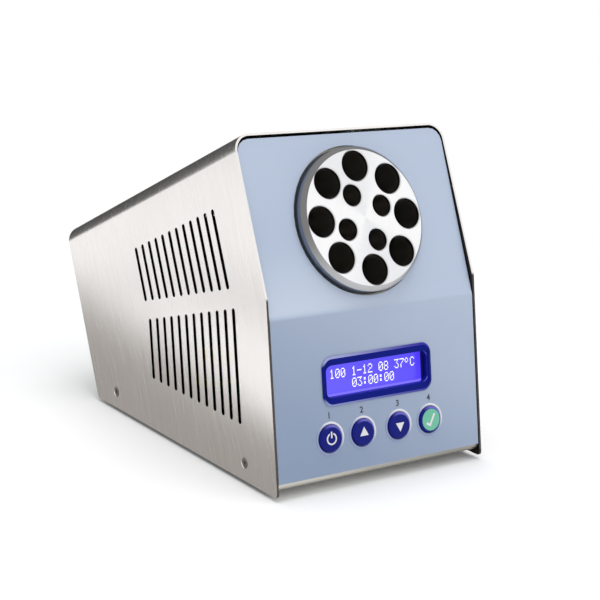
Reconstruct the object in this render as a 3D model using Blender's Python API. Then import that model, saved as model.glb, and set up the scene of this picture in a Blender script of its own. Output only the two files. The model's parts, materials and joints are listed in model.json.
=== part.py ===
"""A bench-top incubator for platelet-rich plasma tubes.

The casing is a folded steel cover over a tray, with a folded front that leans back. A round
aluminium block with twelve wells stands out of the upper front, and a display and four keys
sit in the lower front. Metres, +Z up. The front looks along -Y, and the origin is on the
table, under the middle of the casing.
"""
import math

import bmesh
import bpy
from mathutils import Matrix, Vector

# Gaps between pieces
SEAT = 0.0003
KEY_CLEARANCE = 0.0003
BORE_CLEARANCE = 0.0003

# Cover, seen from the side
COVER_WIDTH = 0.136
COVER_SHEET = 0.0012
COVER_LIFT = 0.002
LOWER_TILT = math.radians(9.35)
MAIN_TILT = math.radians(24.4)
LOWER_FRONT = 0.100
UPPER_FRONT = 0.0866
TOP_LENGTH = 0.200
COVER_BEND = 0.0095
COVER_TOE = 0.002

# Vent slots in both side walls
SLOT_COUNT = 12
SLOT_WIDTH = 0.0025
SLOT_PITCH = 0.00795
SLOT_START = 0.0325
SLOT_TOP_DROP = 0.0307
BAND_DROP = 0.0825
BAND_GAP = 0.0104
LOWER_SLOT_START = 0.0363
LOWER_SLOT_PITCH = 0.00811
LOWER_SLOT_FOOT = 0.0292

# Front panel, a coloured sheet bonded to the folded front plate
PANEL_SHEET = 0.0008
PANEL_SIDE_GAP = 0.0005
PANEL_START = 0.0069
PANEL_TILT = math.radians(23.0)
PANEL_RECESS = 0.0003
PANEL_TOP_RECESS = 0.0006
PANEL_TOP_GAP = 0.0015
PANEL_BEND = 0.006
PANEL_CORNER = 0.0075
PLATE_SHEET = 0.0012
PLATE_BEND = 0.0025
PLATE_RETURN = 0.016

# Base tray
TRAY_SHEET = 0.0012
TRAY_LIFT = 0.0045
TRAY_WALL = 0.0125
TRAY_BEND = 0.002

# Rear panel
REAR_SHEET = 0.0012
REAR_RECESS = 0.003
REAR_RETURN = 0.016
REAR_BEND = 0.0025

# Heating block, measured from its front face: a drilled head with a longer body behind it
BLOCK_UP = 0.0467
BLOCK_PROUD = 0.0065
BLOCK_RADIUS = 0.0388
BLOCK_LENGTH = 0.086
BLOCK_HEAD = 0.028
BLOCK_EDGE = 0.0025
BLOCK_GAP = 0.0014
LARGE_WELLS = 8
LARGE_WELL_RADIUS = 0.0082
LARGE_WELL_CIRCLE = 0.0277
LARGE_WELL_DEPTH = 0.070
SMALL_WELLS = 4
SMALL_WELL_RADIUS = 0.0058
SMALL_WELL_CIRCLE = 0.0134
SMALL_WELL_DEPTH = 0.042
SMALL_WELL_TURN = math.radians(114)
WELL_CHAMFER = 0.0005

# Ring that carries the block, and what is wrapped round the block
RING_THICKNESS = 0.006
RING_WALL = 0.0055
EAR_RADIUS = 0.0045
RING_SCREW_RADIUS = 0.0017
RING_SCREW_HEAD = 0.0034
RING_SCREW_HEAD_HEIGHT = 0.0026
RING_SCREW_BITE = 0.0009
HEATER_THICKNESS = 0.0016
HEATER_LENGTH = 0.048
LAGGING_THICKNESS = 0.0032
LAGGING_LENGTH = 0.054
WRAP_SEAM = 0.003
BRACKET_WIDTH = 0.038
BRACKET_SHEET = 0.002
BRACKET_REACH = 0.018
BRACKET_FOOT = 0.026
BRACKET_BEND = 0.004
SENSOR_SPREAD = 0.0285
PROBE_RADIUS = 0.0015
PROBE_DEPTH = 0.012
PROBE_HEX = 0.0035
CUTOUT_RADIUS = 0.0065
CUTOUT_FLANGE = 0.0078
CUTOUT_HEIGHT = 0.007
CUTOUT_FLANGE_THICKNESS = 0.0018

# Display, in the lower front, a little left of the middle
DISPLAY_X = -0.0008
DISPLAY_UP = 0.0477
DISPLAY_RECESS = 0.0047
BEZEL_WIDTH = 0.0716
BEZEL_HEIGHT = 0.0266
BEZEL_CORNER = 0.006
BEZEL_SIDE_RIM = 0.00225
BEZEL_END_RIM = 0.0049
BEZEL_INNER_CORNER = 0.0035
BEZEL_LAP = 0.0012
BEZEL_PROUD = 0.0011
FRAME_SIDE_INSET = 0.0002
FRAME_END_INSET = 0.0007
FRAME_WALL = 0.001
FRAME_LIP = 0.0008
WINDOW_WIDTH = 0.065
WINDOW_HEIGHT = 0.0166
GLASS_THICKNESS = 0.0052
BOARD_SHEET = 0.0016
BOARD_DEPTH = 0.0122
BOARD_RIM = 0.0032

# Keys, along one line under the display
KEY_UP = 0.01875
KEY_PLACES = {"key_power": -0.0333, "key_up": -0.0124, "key_down": 0.0114, "key_set": 0.0325}
KEY_RADIUS = 0.0072
KEY_PROUD = 0.0015
KEY_BEVEL = 0.0014
KEY_SHOULDER = 0.0004
KEY_SHOULDER_UP = 0.0009
KEY_FLANGE = 0.0012
KEY_FLANGE_THICKNESS = 0.0008
KEY_STEM_RADIUS = 0.0018
KEY_TRAVEL = 0.0008
SWITCH_SIDE = 0.012
SWITCH_HEIGHT = 0.0043
SWITCH_CORNER = 0.0009
SWITCH_GRIP = 0.0005
KEY_BOARD_HEIGHT = 0.022
POST_GAP = 0.0006
POST_EDGE = 0.0030
POST_RADIUS = 0.0026
POST_PIN_RADIUS = 0.0013
POST_TIP = 0.0012

# Supply board on the tray
SUPPLY_Y = 0.024
SUPPLY_WIDTH = 0.100
SUPPLY_DEPTH = 0.072
SUPPLY_LIFT = 0.006
SUPPLY_POST_EDGE = 0.005
TRANSFORMER_X = -0.025
TRANSFORMER_WIDTH = 0.042
TRANSFORMER_DEPTH = 0.036
TRANSFORMER_HEIGHT = 0.034
TRANSFORMER_COIL = 0.022
SINK_X = 0.026
SINK_Y = -0.018
SINK_WIDTH = 0.038
SINK_BASE = 0.003
SINK_FIN = 0.0012
SINK_FINS = 7
SINK_DEPTH = 0.014
SINK_HEIGHT = 0.025
RELAY_X = 0.026
RELAY_Y = 0.014
RELAY_WIDTH = 0.028
RELAY_DEPTH = 0.0125
RELAY_HEIGHT = 0.016
RELAY_EDGE = 0.0004

# Mains inlet with its fuse drawer, and the power switch, in the rear panel
INLET_SIDE = 0.036
INLET_UP = 0.050
INLET_FLANGE_WIDTH = 0.031
INLET_FLANGE_HEIGHT = 0.050
INLET_FLANGE = 0.002
INLET_BODY_WIDTH = 0.027
INLET_BODY_HEIGHT = 0.044
INLET_BODY_DEPTH = 0.022
INLET_CORNER = 0.002
SOCKET_WIDTH = 0.0242
SOCKET_HEIGHT = 0.0165
SOCKET_DEPTH = 0.0165
SOCKET_RISE = 0.0100
SOCKET_CHAMFER = 0.005
PIN_SPACING = 0.014
PIN_OFFSET = 0.004
PIN_WIDTH = 0.004
PIN_THICKNESS = 0.002
PIN_LENGTH = 0.013
DRAWER_WIDTH = 0.020
DRAWER_HEIGHT = 0.0085
DRAWER_DEPTH = 0.017
DRAWER_DROP = 0.0125
DRAWER_LIP = 0.0012
DRAWER_GRIP_WIDTH = 0.010
DRAWER_GRIP_HEIGHT = 0.0021
DRAWER_GRIP_FLOOR = 0.0003
ROCKER_SIDE = 0.038
ROCKER_UP = 0.050
ROCKER_WIDTH = 0.0104
ROCKER_RADIUS = 0.0086
ROCKER_DEPTH = 0.003
ROCKER_SWING = math.radians(20)
ROCKER_BELLY = 0.0045
ROCKER_VALLEY = 0.0005
ROCKER_PIN_RADIUS = 0.0010
ROCKER_PIN_LENGTH = 0.0012
SWITCH_BOX_WALL = 0.0016
SWITCH_BOX_DEPTH = 0.014
SWITCH_BOX_FLANGE = 0.0018
SWITCH_BOX_LAP = 0.0016

# Screws and feet
COVER_SCREW_FRONT = 0.031
COVER_SCREW_REAR = 0.0165
COVER_SCREW_UP = 0.0096
COVER_SCREW_HEAD = 0.0028
COVER_SCREW_RADIUS = 0.0015
COVER_SCREW_SINK = 0.0011
COVER_SCREW_LENGTH = 0.006
FOOT_RADIUS = 0.006
FOOT_SIDE = 0.016
FOOT_FRONT = 0.034
FOOT_REAR = 0.0067
FOOT_EDGE = 0.0008
FLANGE_SCREW_SIDE = 0.028
FLANGE_SCREW_RADIUS = 0.0015
FLANGE_SCREW_HEAD = 0.0028
FLANGE_SCREW_CROWN = 0.0017
FLANGE_SCREW_HEAD_HEIGHT = 0.0018
FLANGE_SCREW_LENGTH = 0.005

# How finely round shapes are divided
BLOCK_STEPS = 48
WRAP_STEPS = 36
WELL_STEPS = 16
SMALL_WELL_STEPS = 12
ROUND_STEPS = 20
KEY_STEPS = 24
SCREW_STEPS = 10
CORNER_STEPS = 4
SLOT_END_STEPS = 4
EDGE_STEPS = 3
SHARP_ANGLE = math.radians(35)
MARGIN = 0.02
CORNERS = ((1, 1), (-1, 1), (-1, -1), (1, -1))


def lean(tilt):
    """The direction up a face that leans back by an angle, as (y, z)."""
    return Vector((math.sin(tilt), math.cos(tilt)))


def inward(up):
    """The direction square to a face that runs along up, into the casing."""
    return Vector((up.y, -up.x))


UP_LOWER = lean(LOWER_TILT)
UP_MAIN = lean(MAIN_TILT)
UP_PANEL = lean(PANEL_TILT)
BACK = inward(UP_MAIN)
DEPTH = LOWER_FRONT * UP_LOWER.x + UPPER_FRONT * UP_MAIN.x + TOP_LENGTH * BACK.x
TOE_INSET = COVER_TOE / math.tan((math.pi / 2 - LOWER_TILT) / 2) - COVER_TOE

# Corners of the cover in the side view: toe, front bend, top front, top rear
COVER_F = Vector((-(DEPTH + TOE_INSET) / 2, COVER_LIFT))
COVER_K = COVER_F + UP_LOWER * LOWER_FRONT
COVER_T = COVER_K + UP_MAIN * UPPER_FRONT
COVER_S = COVER_T + BACK * TOP_LENGTH
INNER_HALF = COVER_WIDTH / 2 - COVER_SHEET


def crossing(point, along, other, other_along):
    """Where two lines of the side view cross."""
    square = Vector((-other_along.y, other_along.x))
    return point + along * ((other - point).dot(square) / along.dot(square))


PANEL_HEEL = COVER_F + UP_LOWER * PANEL_START + inward(UP_LOWER) * PANEL_RECESS
PANEL_HEAD = COVER_T - UP_MAIN * (COVER_SHEET + PANEL_TOP_GAP) + BACK * PANEL_TOP_RECESS
PANEL_KNEE = crossing(PANEL_HEAD, UP_PANEL, PANEL_HEEL, UP_LOWER)
PLATE_INSET = PANEL_SHEET + SEAT
PLATE_BACK = PLATE_INSET + PLATE_SHEET
FLOOR = COVER_LIFT + TRAY_LIFT
TRAY_UNDER = Vector((0.0, FLOOR))
TRAY_TOP = FLOOR + TRAY_SHEET
PLATE_UNDER = FLOOR - SEAT - PLATE_SHEET
REAR_UNDER = FLOOR - SEAT - REAR_SHEET
REAR_FACE = COVER_S - BACK * REAR_RECESS
REAR_HEEL = crossing(REAR_FACE, UP_MAIN, Vector((0.0, REAR_UNDER)), Vector((1.0, 0.0)))
KNEE_TO_HEAD = (PANEL_HEAD - PANEL_KNEE).length
TRAY_REAR = REAR_HEEL.x - REAR_SHEET - REAR_BEND
REAR_FLANGE_END = REAR_HEEL.x - REAR_RETURN - REAR_BEND
COVER_SCREW_SPOTS = [Vector((y, COVER_F.y + COVER_SCREW_UP))
                     for y in (COVER_F.x + COVER_SCREW_FRONT, TRAY_REAR - COVER_SCREW_REAR)]
FOOT_SPOTS = {"front": COVER_F.x + FOOT_FRONT, "rear": REAR_FLANGE_END - FOOT_REAR - FOOT_RADIUS}

# Display frame, inside the outline of its bezel
FRAME_WIDTH = BEZEL_WIDTH - 2 * FRAME_SIDE_INSET
FRAME_HEIGHT = BEZEL_HEIGHT - 2 * FRAME_END_INSET

# Mains inlet and power switch, from the two sides of the casing
INLET_X = COVER_WIDTH / 2 - INLET_SIDE
ROCKER_X = ROCKER_SIDE - COVER_WIDTH / 2

# Boards, and the posts that carry them
DISPLAY_POST_X = FRAME_WIDTH / 2 + POST_GAP + POST_RADIUS
DISPLAY_BOARD_WIDTH = 2 * (DISPLAY_POST_X + POST_EDGE)
DISPLAY_BOARD_HEIGHT = FRAME_HEIGHT + 2 * BOARD_RIM
DISPLAY_POST_Y = DISPLAY_BOARD_HEIGHT / 2 - POST_EDGE
KEY_POST_X = max(map(abs, KEY_PLACES.values())) + SWITCH_SIDE / 2 + POST_GAP + POST_RADIUS
KEY_BOARD_WIDTH = 2 * (KEY_POST_X + POST_EDGE)
KEY_POST_Y = KEY_BOARD_HEIGHT / 2 - POST_EDGE
SUPPLY_POST_X = SUPPLY_WIDTH / 2 - SUPPLY_POST_EDGE
SUPPLY_POST_Y = SUPPLY_DEPTH / 2 - SUPPLY_POST_EDGE


def face_frame(point, up, across=1.0):
    """A frame on a leaning face: X across it, Y up it and Z out of it."""
    x_axis = Vector((across, 0.0, 0.0))
    y_axis = Vector((0.0, up.x, up.y))
    frame = Matrix((x_axis, y_axis, x_axis.cross(y_axis))).transposed().to_4x4()
    frame.translation = (0.0, point.x, point.y)
    return frame


def moved(frame, x=0.0, y=0.0, z=0.0):
    """The same frame with its origin moved within itself."""
    return frame @ Matrix.Translation((x, y, z))


# Side view frame: X is the world's Y, Y is the world's Z, and Z runs across the casing
SIDE = Matrix(((0, 0, 1, 0), (1, 0, 0, 0), (0, 1, 0, 0), (0, 0, 0, 1)))
LOWER = face_frame(PANEL_HEEL, UP_LOWER)
UPPER = face_frame(PANEL_KNEE, UP_PANEL)
REAR = face_frame(REAR_HEEL, UP_MAIN, across=-1.0)
BLOCK = moved(UPPER, y=BLOCK_UP, z=BLOCK_PROUD)
DISPLAY = moved(LOWER, x=DISPLAY_X, y=DISPLAY_UP)
RING_FRONT = -(BLOCK_PROUD + PLATE_BACK + SEAT)
RING_REAR = RING_FRONT - RING_THICKNESS
BORE = BLOCK_RADIUS + BORE_CLEARANCE
WRAP_RADIUS = BORE + HEATER_THICKNESS + SEAT + LAGGING_THICKNESS
EAR_CIRCLE = WRAP_RADIUS + SEAT + RING_SCREW_HEAD
EAR_ANGLES = [math.radians(45 + 90 * k) for k in range(4)]
EAR_SPOTS = [EAR_CIRCLE * Vector((math.cos(angle), math.sin(angle))) for angle in EAR_ANGLES]


def material(name, color, roughness, metallic=0.0):
    """A plain material in one part's colour."""
    made = bpy.data.materials.new(name)
    made.use_nodes = True
    shader = made.node_tree.nodes["Principled BSDF"]
    shader.inputs["Base Color"].default_value = (*color, 1.0)
    shader.inputs["Roughness"].default_value = roughness
    shader.inputs["Metallic"].default_value = metallic
    return made


def place(name, bm, frame):
    """Turns a mesh under construction into an object that stands in its frame."""
    bmesh.ops.recalc_face_normals(bm, faces=bm.faces)
    mesh = bpy.data.meshes.new(name)
    bm.to_mesh(mesh)
    bm.free()
    mesh.shade_smooth()
    mesh.set_sharp_from_angle(angle=SHARP_ANGLE)
    solid = bpy.data.objects.new(name, mesh)
    solid.matrix_world = frame
    bpy.context.collection.objects.link(solid)
    return solid


def add_prism(bm, outline, low, high):
    """Adds an outline raised from one height to another."""
    floor = bm.faces.new([bm.verts.new((point[0], point[1], low)) for point in outline])
    raised = bmesh.ops.extrude_face_region(bm, geom=[floor])
    verts = [item for item in raised["geom"] if isinstance(item, bmesh.types.BMVert)]
    bmesh.ops.translate(bm, vec=(0.0, 0.0, high - low), verts=verts)


def prism(name, outline, low, high, frame):
    """A solid with one outline all along its frame's Z."""
    bm = bmesh.new()
    add_prism(bm, outline, low, high)
    return place(name, bm, frame)


def add_turned(bm, profile, steps, x=0.0, y=0.0):
    """Adds a profile of (radius, height) points turned about an axis at (x, y)."""
    rows = []
    for radius, height in profile:
        count = steps if radius > 0 else 1
        turn = math.tau / steps
        angles = [k * turn for k in range(count)]
        rows.append([bm.verts.new((x + radius * math.cos(angle), y + radius * math.sin(angle), height))
                     for angle in angles])
    for row, following in zip(rows, rows[1:]):
        for k in range(steps):
            ring = [row[k % len(row)], row[(k + 1) % len(row)],
                    following[(k + 1) % len(following)], following[k % len(following)]]
            bm.faces.new(list(dict.fromkeys(ring)))


def turned(name, profile, steps, frame):
    """A turned solid, whose profile starts and ends on the axis."""
    bm = bmesh.new()
    add_turned(bm, profile, steps)
    return place(name, bm, frame)


def loft(name, loops, frame):
    """A ring-shaped solid: each loop is joined to the next, and the last to the first."""
    bm = bmesh.new()
    rows = [[bm.verts.new(point) for point in loop] for loop in loops]
    for row, following in zip(rows, rows[1:] + rows[:1]):
        for k, corner in enumerate(row):
            bm.faces.new((row[k - 1], corner, following[k], following[k - 1]))
    return place(name, bm, frame)


def join_mode(solid, other, operation):
    """Combines a solid with a hidden guide."""
    other.hide_render = True
    other.display_type = "WIRE"
    modifier = solid.modifiers.new(other.name, "BOOLEAN")
    modifier.operation = operation
    modifier.solver = "EXACT"
    modifier.object = other


def cut(solid, *cutters):
    """Cuts each cutter out of the solid."""
    for cutter in cutters:
        join_mode(solid, cutter, "DIFFERENCE")


def fuse(solid, *pieces):
    """Makes each piece one with the solid."""
    for piece in pieces:
        join_mode(solid, piece, "UNION")


def arc(centre, radius, start, sweep, steps):
    """Points along an arc, ends included."""
    turns = [start + sweep * k / steps for k in range(steps + 1)]
    return [centre + radius * Vector((math.cos(turn), math.sin(turn))) for turn in turns]


def rounded(points, radii, steps=CORNER_STEPS):
    """A line through the points, with an arc of its own radius at each corner."""
    line = []
    for k, (corner, radius) in enumerate(zip(points, radii)):
        if radius <= 0:
            line.append(corner.copy())
            continue
        before = (points[k - 1] - corner).normalized()
        after = (points[(k + 1) % len(points)] - corner).normalized()
        half = before.angle(after) / 2
        centre = corner + (before + after).normalized() * (radius / math.sin(half))
        first = corner + before * (radius / math.tan(half)) - centre
        last = corner + after * (radius / math.tan(half)) - centre
        start = math.atan2(first.y, first.x)
        sweep = math.remainder(math.atan2(last.y, last.x) - start, math.tau)
        line += arc(centre, radius, start, sweep, steps)
    return line


def beside(line, distance):
    """An open line moved sideways, to its left."""
    result = []
    for k, point in enumerate(line):
        after = min(k + 1, len(line) - 1)
        before = max(k, 1)
        ahead = (line[after] - line[after - 1]).normalized()
        behind = (line[before] - line[before - 1]).normalized()
        middle = (ahead + behind).normalized()
        square = Vector((-middle.y, middle.x))
        result.append(point + square * (distance / square.dot(Vector((-ahead.y, ahead.x)))))
    return result


def strip(line, thickness):
    """The outline of a folded sheet whose outer face follows the line, with the sheet on its left."""
    return line + beside(line, thickness)[::-1]


def rectangle(width, height, corner=0.0, x=0.0, y=0.0, steps=CORNER_STEPS):
    """A rectangle about (x, y), with rounded corners."""
    corners = [Vector((x + sx * width / 2, y + sy * height / 2)) for sx, sy in CORNERS]
    return rounded(corners, [corner] * len(corners), steps)


def raised(outline, height):
    """An outline lifted to a height."""
    return [(point[0], point[1], height) for point in outline]


def circle(radius, steps, x=0.0, y=0.0):
    """A circle about (x, y)."""
    return arc(Vector((x, y)), radius, 0.0, math.tau, steps)[:-1]


def drill(name, radius, spots, low, high, frame, steps=SCREW_STEPS):
    """A round cutter at each (x, y) spot."""
    bm = bmesh.new()
    for x, y in spots:
        add_prism(bm, circle(radius, steps, x, y), low, high)
    return place(name, bm, frame)


def trim(solid, half_width, top, radius, frame):
    """Trims a folded sheet to its width and height, with rounded upper corners."""
    low = -(COVER_T - COVER_F).length - MARGIN
    outline = rounded([Vector((-half_width, low)), Vector((-half_width, top)), Vector((half_width, top)),
                       Vector((half_width, low))], [0.0, radius, radius, 0.0])
    join_mode(solid, prism(f"{solid.name}_envelope", outline, -DEPTH / 2, MARGIN, frame), "INTERSECT")


def cover_section():
    """The cover's U, seen along the top: outer line down, inner line back up."""
    leg = (COVER_T - COVER_F).dot(UP_MAIN) + MARGIN
    half = COVER_WIDTH / 2
    outer = rounded([Vector((-half, -leg)), Vector((-half, 0.0)), Vector((half, 0.0)), Vector((half, -leg))],
                    [0.0, COVER_BEND, COVER_BEND, 0.0], 2 * CORNER_STEPS)
    return outer + beside(outer, -COVER_SHEET)[::-1]


def cover_side():
    """What the cover keeps of its U, seen from the side: above the toe and behind the lower front."""
    far = TOP_LENGTH + MARGIN + DEPTH
    corners = [COVER_F, COVER_F + UP_LOWER * far, Vector((far, far)), Vector((far, COVER_LIFT))]
    return rounded(corners, [COVER_TOE, 0.0, 0.0, 0.0])


def slot(start, end, width):
    """A slot with round ends whose tips are at two points."""
    along = (end - start).normalized()
    radius = width / 2
    turn = math.atan2(along.y, along.x)
    return (arc(end - along * radius, radius, turn - math.pi / 2, math.pi, SLOT_END_STEPS)
            + arc(start + along * radius, radius, turn + math.pi / 2, math.pi, SLOT_END_STEPS))


def slot_lines():
    """The tips of every slot: an upper row square to the top and a lower row along the lower front."""
    band_along = lean(math.pi / 2 + (MAIN_TILT + LOWER_TILT) / 2)
    band_at = COVER_T - UP_MAIN * BAND_DROP
    half_gap = Vector((0.0, BAND_GAP / 2))
    lines = []
    for k in range(SLOT_COUNT):
        top = COVER_T + BACK * (SLOT_START + k * SLOT_PITCH) - UP_MAIN * SLOT_TOP_DROP
        lines.append((crossing(top, UP_MAIN, band_at + half_gap, band_along), top))
        foot = COVER_F + Vector((LOWER_SLOT_START + k * LOWER_SLOT_PITCH, LOWER_SLOT_FOOT))
        lines.append((foot, crossing(foot, UP_LOWER, band_at - half_gap, band_along)))
    return lines


def cover():
    """Folded steel cover with its vents and screw holes."""
    solid = prism("cover", cover_section(), -TOP_LENGTH, 0.0, face_frame(COVER_T, UP_MAIN))
    reach = COVER_WIDTH / 2 + MARGIN
    join_mode(solid, prism("cover_trim", cover_side(), -reach, reach, SIDE), "INTERSECT")
    bm = bmesh.new()
    for start, end in slot_lines():
        add_prism(bm, slot(start, end, SLOT_WIDTH), -reach, reach)
    cut(solid, place("cover_slots", bm, SIDE))
    half = COVER_WIDTH / 2
    narrow = COVER_SCREW_RADIUS + BORE_CLEARANCE
    wide = COVER_SCREW_HEAD + BORE_CLEARANCE
    sink = COVER_SCREW_SINK * (wide - narrow) / (COVER_SCREW_HEAD - COVER_SCREW_RADIUS)
    bm = bmesh.new()
    profile = [(0.0, -reach), (wide, -reach), (wide, -half), (narrow, sink - half),
               (narrow, half - sink), (wide, half), (wide, reach), (0.0, reach)]
    for spot in COVER_SCREW_SPOTS:
        add_turned(bm, profile, SCREW_STEPS, spot.x, spot.y)
    cut(solid, place("cover_screw_holes", bm, SIDE))
    return [solid]


def cover_screws():
    """Countersunk screws through the foot of each side wall into the tray."""
    made = []
    half = (COVER_WIDTH - SEAT) / 2
    profile = [(0.0, -COVER_SCREW_LENGTH), (COVER_SCREW_RADIUS, -COVER_SCREW_LENGTH),
               (COVER_SCREW_RADIUS, -COVER_SCREW_SINK), (COVER_SCREW_HEAD, 0.0), (0.0, 0.0)]
    for side, label in ((-1, "left"), (1, "right")):
        for spot, end in zip(COVER_SCREW_SPOTS, ("front", "rear")):
            outward = Matrix.Rotation(side * math.pi / 2, 4, "Y")
            frame = Matrix.Translation((side * half, spot.x, spot.y)) @ outward
            made.append(turned(f"cover_screw_{label}_{end}", profile, SCREW_STEPS, frame))
    return made


def front_cutters(label):
    """Cutters for the block's hole, the display's hole and the key holes, for one of the front sheets."""
    lap = 2 * (BEZEL_LAP - SEAT)
    display = rectangle(BEZEL_WIDTH - lap, BEZEL_HEIGHT - lap, BEZEL_CORNER - BEZEL_LAP + SEAT)
    keys_along = [(x, KEY_UP) for x in KEY_PLACES.values()]
    reach = MARGIN / 2
    return [drill(f"{label}_block_hole", BLOCK_RADIUS + BLOCK_GAP, [(0.0, BLOCK_UP)], -MARGIN, MARGIN, UPPER,
                  BLOCK_STEPS),
            prism(f"{label}_display_hole", display, -reach, reach, DISPLAY),
            drill(f"{label}_key_holes", KEY_RADIUS + KEY_CLEARANCE, keys_along, -reach, reach, LOWER,
                  ROUND_STEPS)]


def front_panel():
    """Coloured front sheet, folded at the knee."""
    line = rounded([PANEL_HEAD + UP_PANEL * MARGIN, PANEL_KNEE, PANEL_HEEL], [0.0, PANEL_BEND, 0.0])
    solid = prism("front_panel", strip(line, PANEL_SHEET), -COVER_WIDTH, COVER_WIDTH, SIDE)
    trim(solid, INNER_HALF - PANEL_SIDE_GAP, KNEE_TO_HEAD, PANEL_CORNER, UPPER)
    cut(solid, *front_cutters("panel"))
    return [solid]


def front_plate():
    """Bare steel front plate behind the panel, folded under the tray at its foot."""
    shift = inward(UP_LOWER) * PLATE_INSET
    under = Vector((0.0, PLATE_UNDER))
    foot = crossing(PANEL_HEEL + shift, UP_LOWER, under, Vector((1.0, 0.0)))
    knee_line = beside([PANEL_HEAD + UP_PANEL * MARGIN, PANEL_KNEE, PANEL_HEEL], PLATE_INSET)
    corners = [knee_line[0], knee_line[1], foot, foot + Vector((PLATE_RETURN, 0.0))]
    line = rounded(corners, [0.0, PANEL_BEND - PLATE_INSET, PLATE_BEND, 0.0])
    solid = prism("front_plate", strip(line, PLATE_SHEET), -COVER_WIDTH, COVER_WIDTH, SIDE)
    trim(solid, INNER_HALF - SEAT, KNEE_TO_HEAD, COVER_BEND - COVER_SHEET, UPPER)
    cut(solid, *front_cutters("plate"),
        drill("plate_screw_holes", RING_SCREW_RADIUS + BORE_CLEARANCE, EAR_SPOTS, -MARGIN, 0.0,
              moved(UPPER, y=BLOCK_UP)))
    return [solid]


def tray_front():
    """Where the tray starts, behind the bend of the front plate."""
    foot = crossing(PANEL_HEEL, UP_LOWER, TRAY_UNDER, Vector((1.0, 0.0)))
    return foot.x + PLATE_BACK + PLATE_BEND


def base_tray():
    """Steel tray with turned-up sides that the cover is screwed to."""
    half = INNER_HALF - SEAT
    line = rounded([Vector((-half, FLOOR + TRAY_WALL)), Vector((-half, FLOOR)), Vector((half, FLOOR)),
                    Vector((half, FLOOR + TRAY_WALL))], [0.0, TRAY_BEND, TRAY_BEND, 0.0])
    across = Matrix(((1, 0, 0, 0), (0, 0, -1, 0), (0, 1, 0, 0), (0, 0, 0, 1)))
    solid = prism("base_tray", strip(line, TRAY_SHEET), -TRAY_REAR, -tray_front(), across)
    side_holes = drill("tray_side_holes", COVER_SCREW_RADIUS + BORE_CLEARANCE, COVER_SCREW_SPOTS,
                       -COVER_WIDTH, COVER_WIDTH, SIDE)
    cut(solid, side_holes, flange_holes("tray_flange_holes"))
    return [solid]


def flange_spots():
    """Where the rear panel's flange screws are, seen from above."""
    back = REAR_HEEL.x - REAR_RETURN / 2 - REAR_BEND
    aside = COVER_WIDTH / 2 - FLANGE_SCREW_SIDE
    return [(-aside, back), (aside, back)]


def flange_holes(name):
    """Cutters for the flange screws."""
    return drill(name, FLANGE_SCREW_RADIUS + BORE_CLEARANCE, flange_spots(), 0.0, FLOOR + MARGIN / 2,
                 Matrix.Identity(4))


def feet():
    """Rubber feet under the tray."""
    top = FLOOR - SEAT
    profile = [(0.0, 0.0), (FOOT_RADIUS - 2 * FOOT_EDGE, 0.0), (FOOT_RADIUS - FOOT_EDGE, FOOT_EDGE),
               (FOOT_RADIUS, top), (0.0, top)]
    made = []
    for side, label in ((-1, "left"), (1, "right")):
        for end, y in FOOT_SPOTS.items():
            frame = Matrix.Translation((side * (COVER_WIDTH / 2 - FOOT_SIDE), y, 0.0))
            made.append(turned(f"foot_{label}_{end}", profile, ROUND_STEPS, frame))
    return made


def rear_panel():
    """Steel rear panel, folded under the tray at its foot."""
    head = crossing(REAR_FACE, UP_MAIN, COVER_T - UP_MAIN * (COVER_SHEET + SEAT), BACK)
    line = rounded([REAR_HEEL + Vector((-REAR_RETURN - REAR_BEND, 0.0)), REAR_HEEL, head + UP_MAIN * MARGIN],
                   [0.0, REAR_BEND, 0.0])
    solid = prism("rear_panel", strip(line, REAR_SHEET), -COVER_WIDTH, COVER_WIDTH, SIDE)
    trim(solid, INNER_HALF - SEAT, (head - REAR_HEEL).length, COVER_BEND - COVER_SHEET, REAR)
    body = rectangle(INLET_BODY_WIDTH + 2 * SEAT, INLET_BODY_HEIGHT + 2 * SEAT, 0.0, INLET_X, INLET_UP)
    width, height = switch_box_size()
    box = rectangle(width + 2 * SEAT, height + 2 * SEAT, 0.0, ROCKER_X, ROCKER_UP)
    cut(solid,
        flange_holes("rear_flange_holes"),
        prism("rear_inlet_hole", body, -MARGIN / 2, MARGIN / 2, REAR),
        prism("rear_switch_hole", box, -MARGIN / 2, MARGIN / 2, REAR))
    return [solid]


def flange_screws():
    """Pan-head screws that hold the rear panel's foot to the tray."""
    head_top = REAR_UNDER - SEAT
    head_low = head_top - FLANGE_SCREW_HEAD_HEIGHT
    profile = [(0.0, head_low), (FLANGE_SCREW_CROWN, head_low), (FLANGE_SCREW_HEAD, head_top),
               (FLANGE_SCREW_RADIUS, head_top), (FLANGE_SCREW_RADIUS, head_top + FLANGE_SCREW_LENGTH),
               (0.0, head_top + FLANGE_SCREW_LENGTH)]
    return [turned(f"rear_screw_{label}", profile, SCREW_STEPS, Matrix.Translation((*spot, 0.0)))
            for spot, label in zip(flange_spots(), ("left", "right"))]


def large_well_centres():
    """Centres of the outer wells, the first straight above the middle."""
    return [LARGE_WELL_CIRCLE * lean(math.tau * k / LARGE_WELLS) for k in range(LARGE_WELLS)]


def small_well_centres():
    """Centres of the inner wells."""
    turns = [SMALL_WELL_TURN + math.tau * k / SMALL_WELLS for k in range(SMALL_WELLS)]
    return [SMALL_WELL_CIRCLE * Vector((math.cos(turn), math.sin(turn))) for turn in turns]


def well_profile(radius, depth):
    """A blind well with a small chamfer at its mouth."""
    return [(0.0, WELL_CHAMFER), (radius + 2 * WELL_CHAMFER, WELL_CHAMFER), (radius, -WELL_CHAMFER),
            (radius, -depth), (0.0, -depth)]


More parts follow.
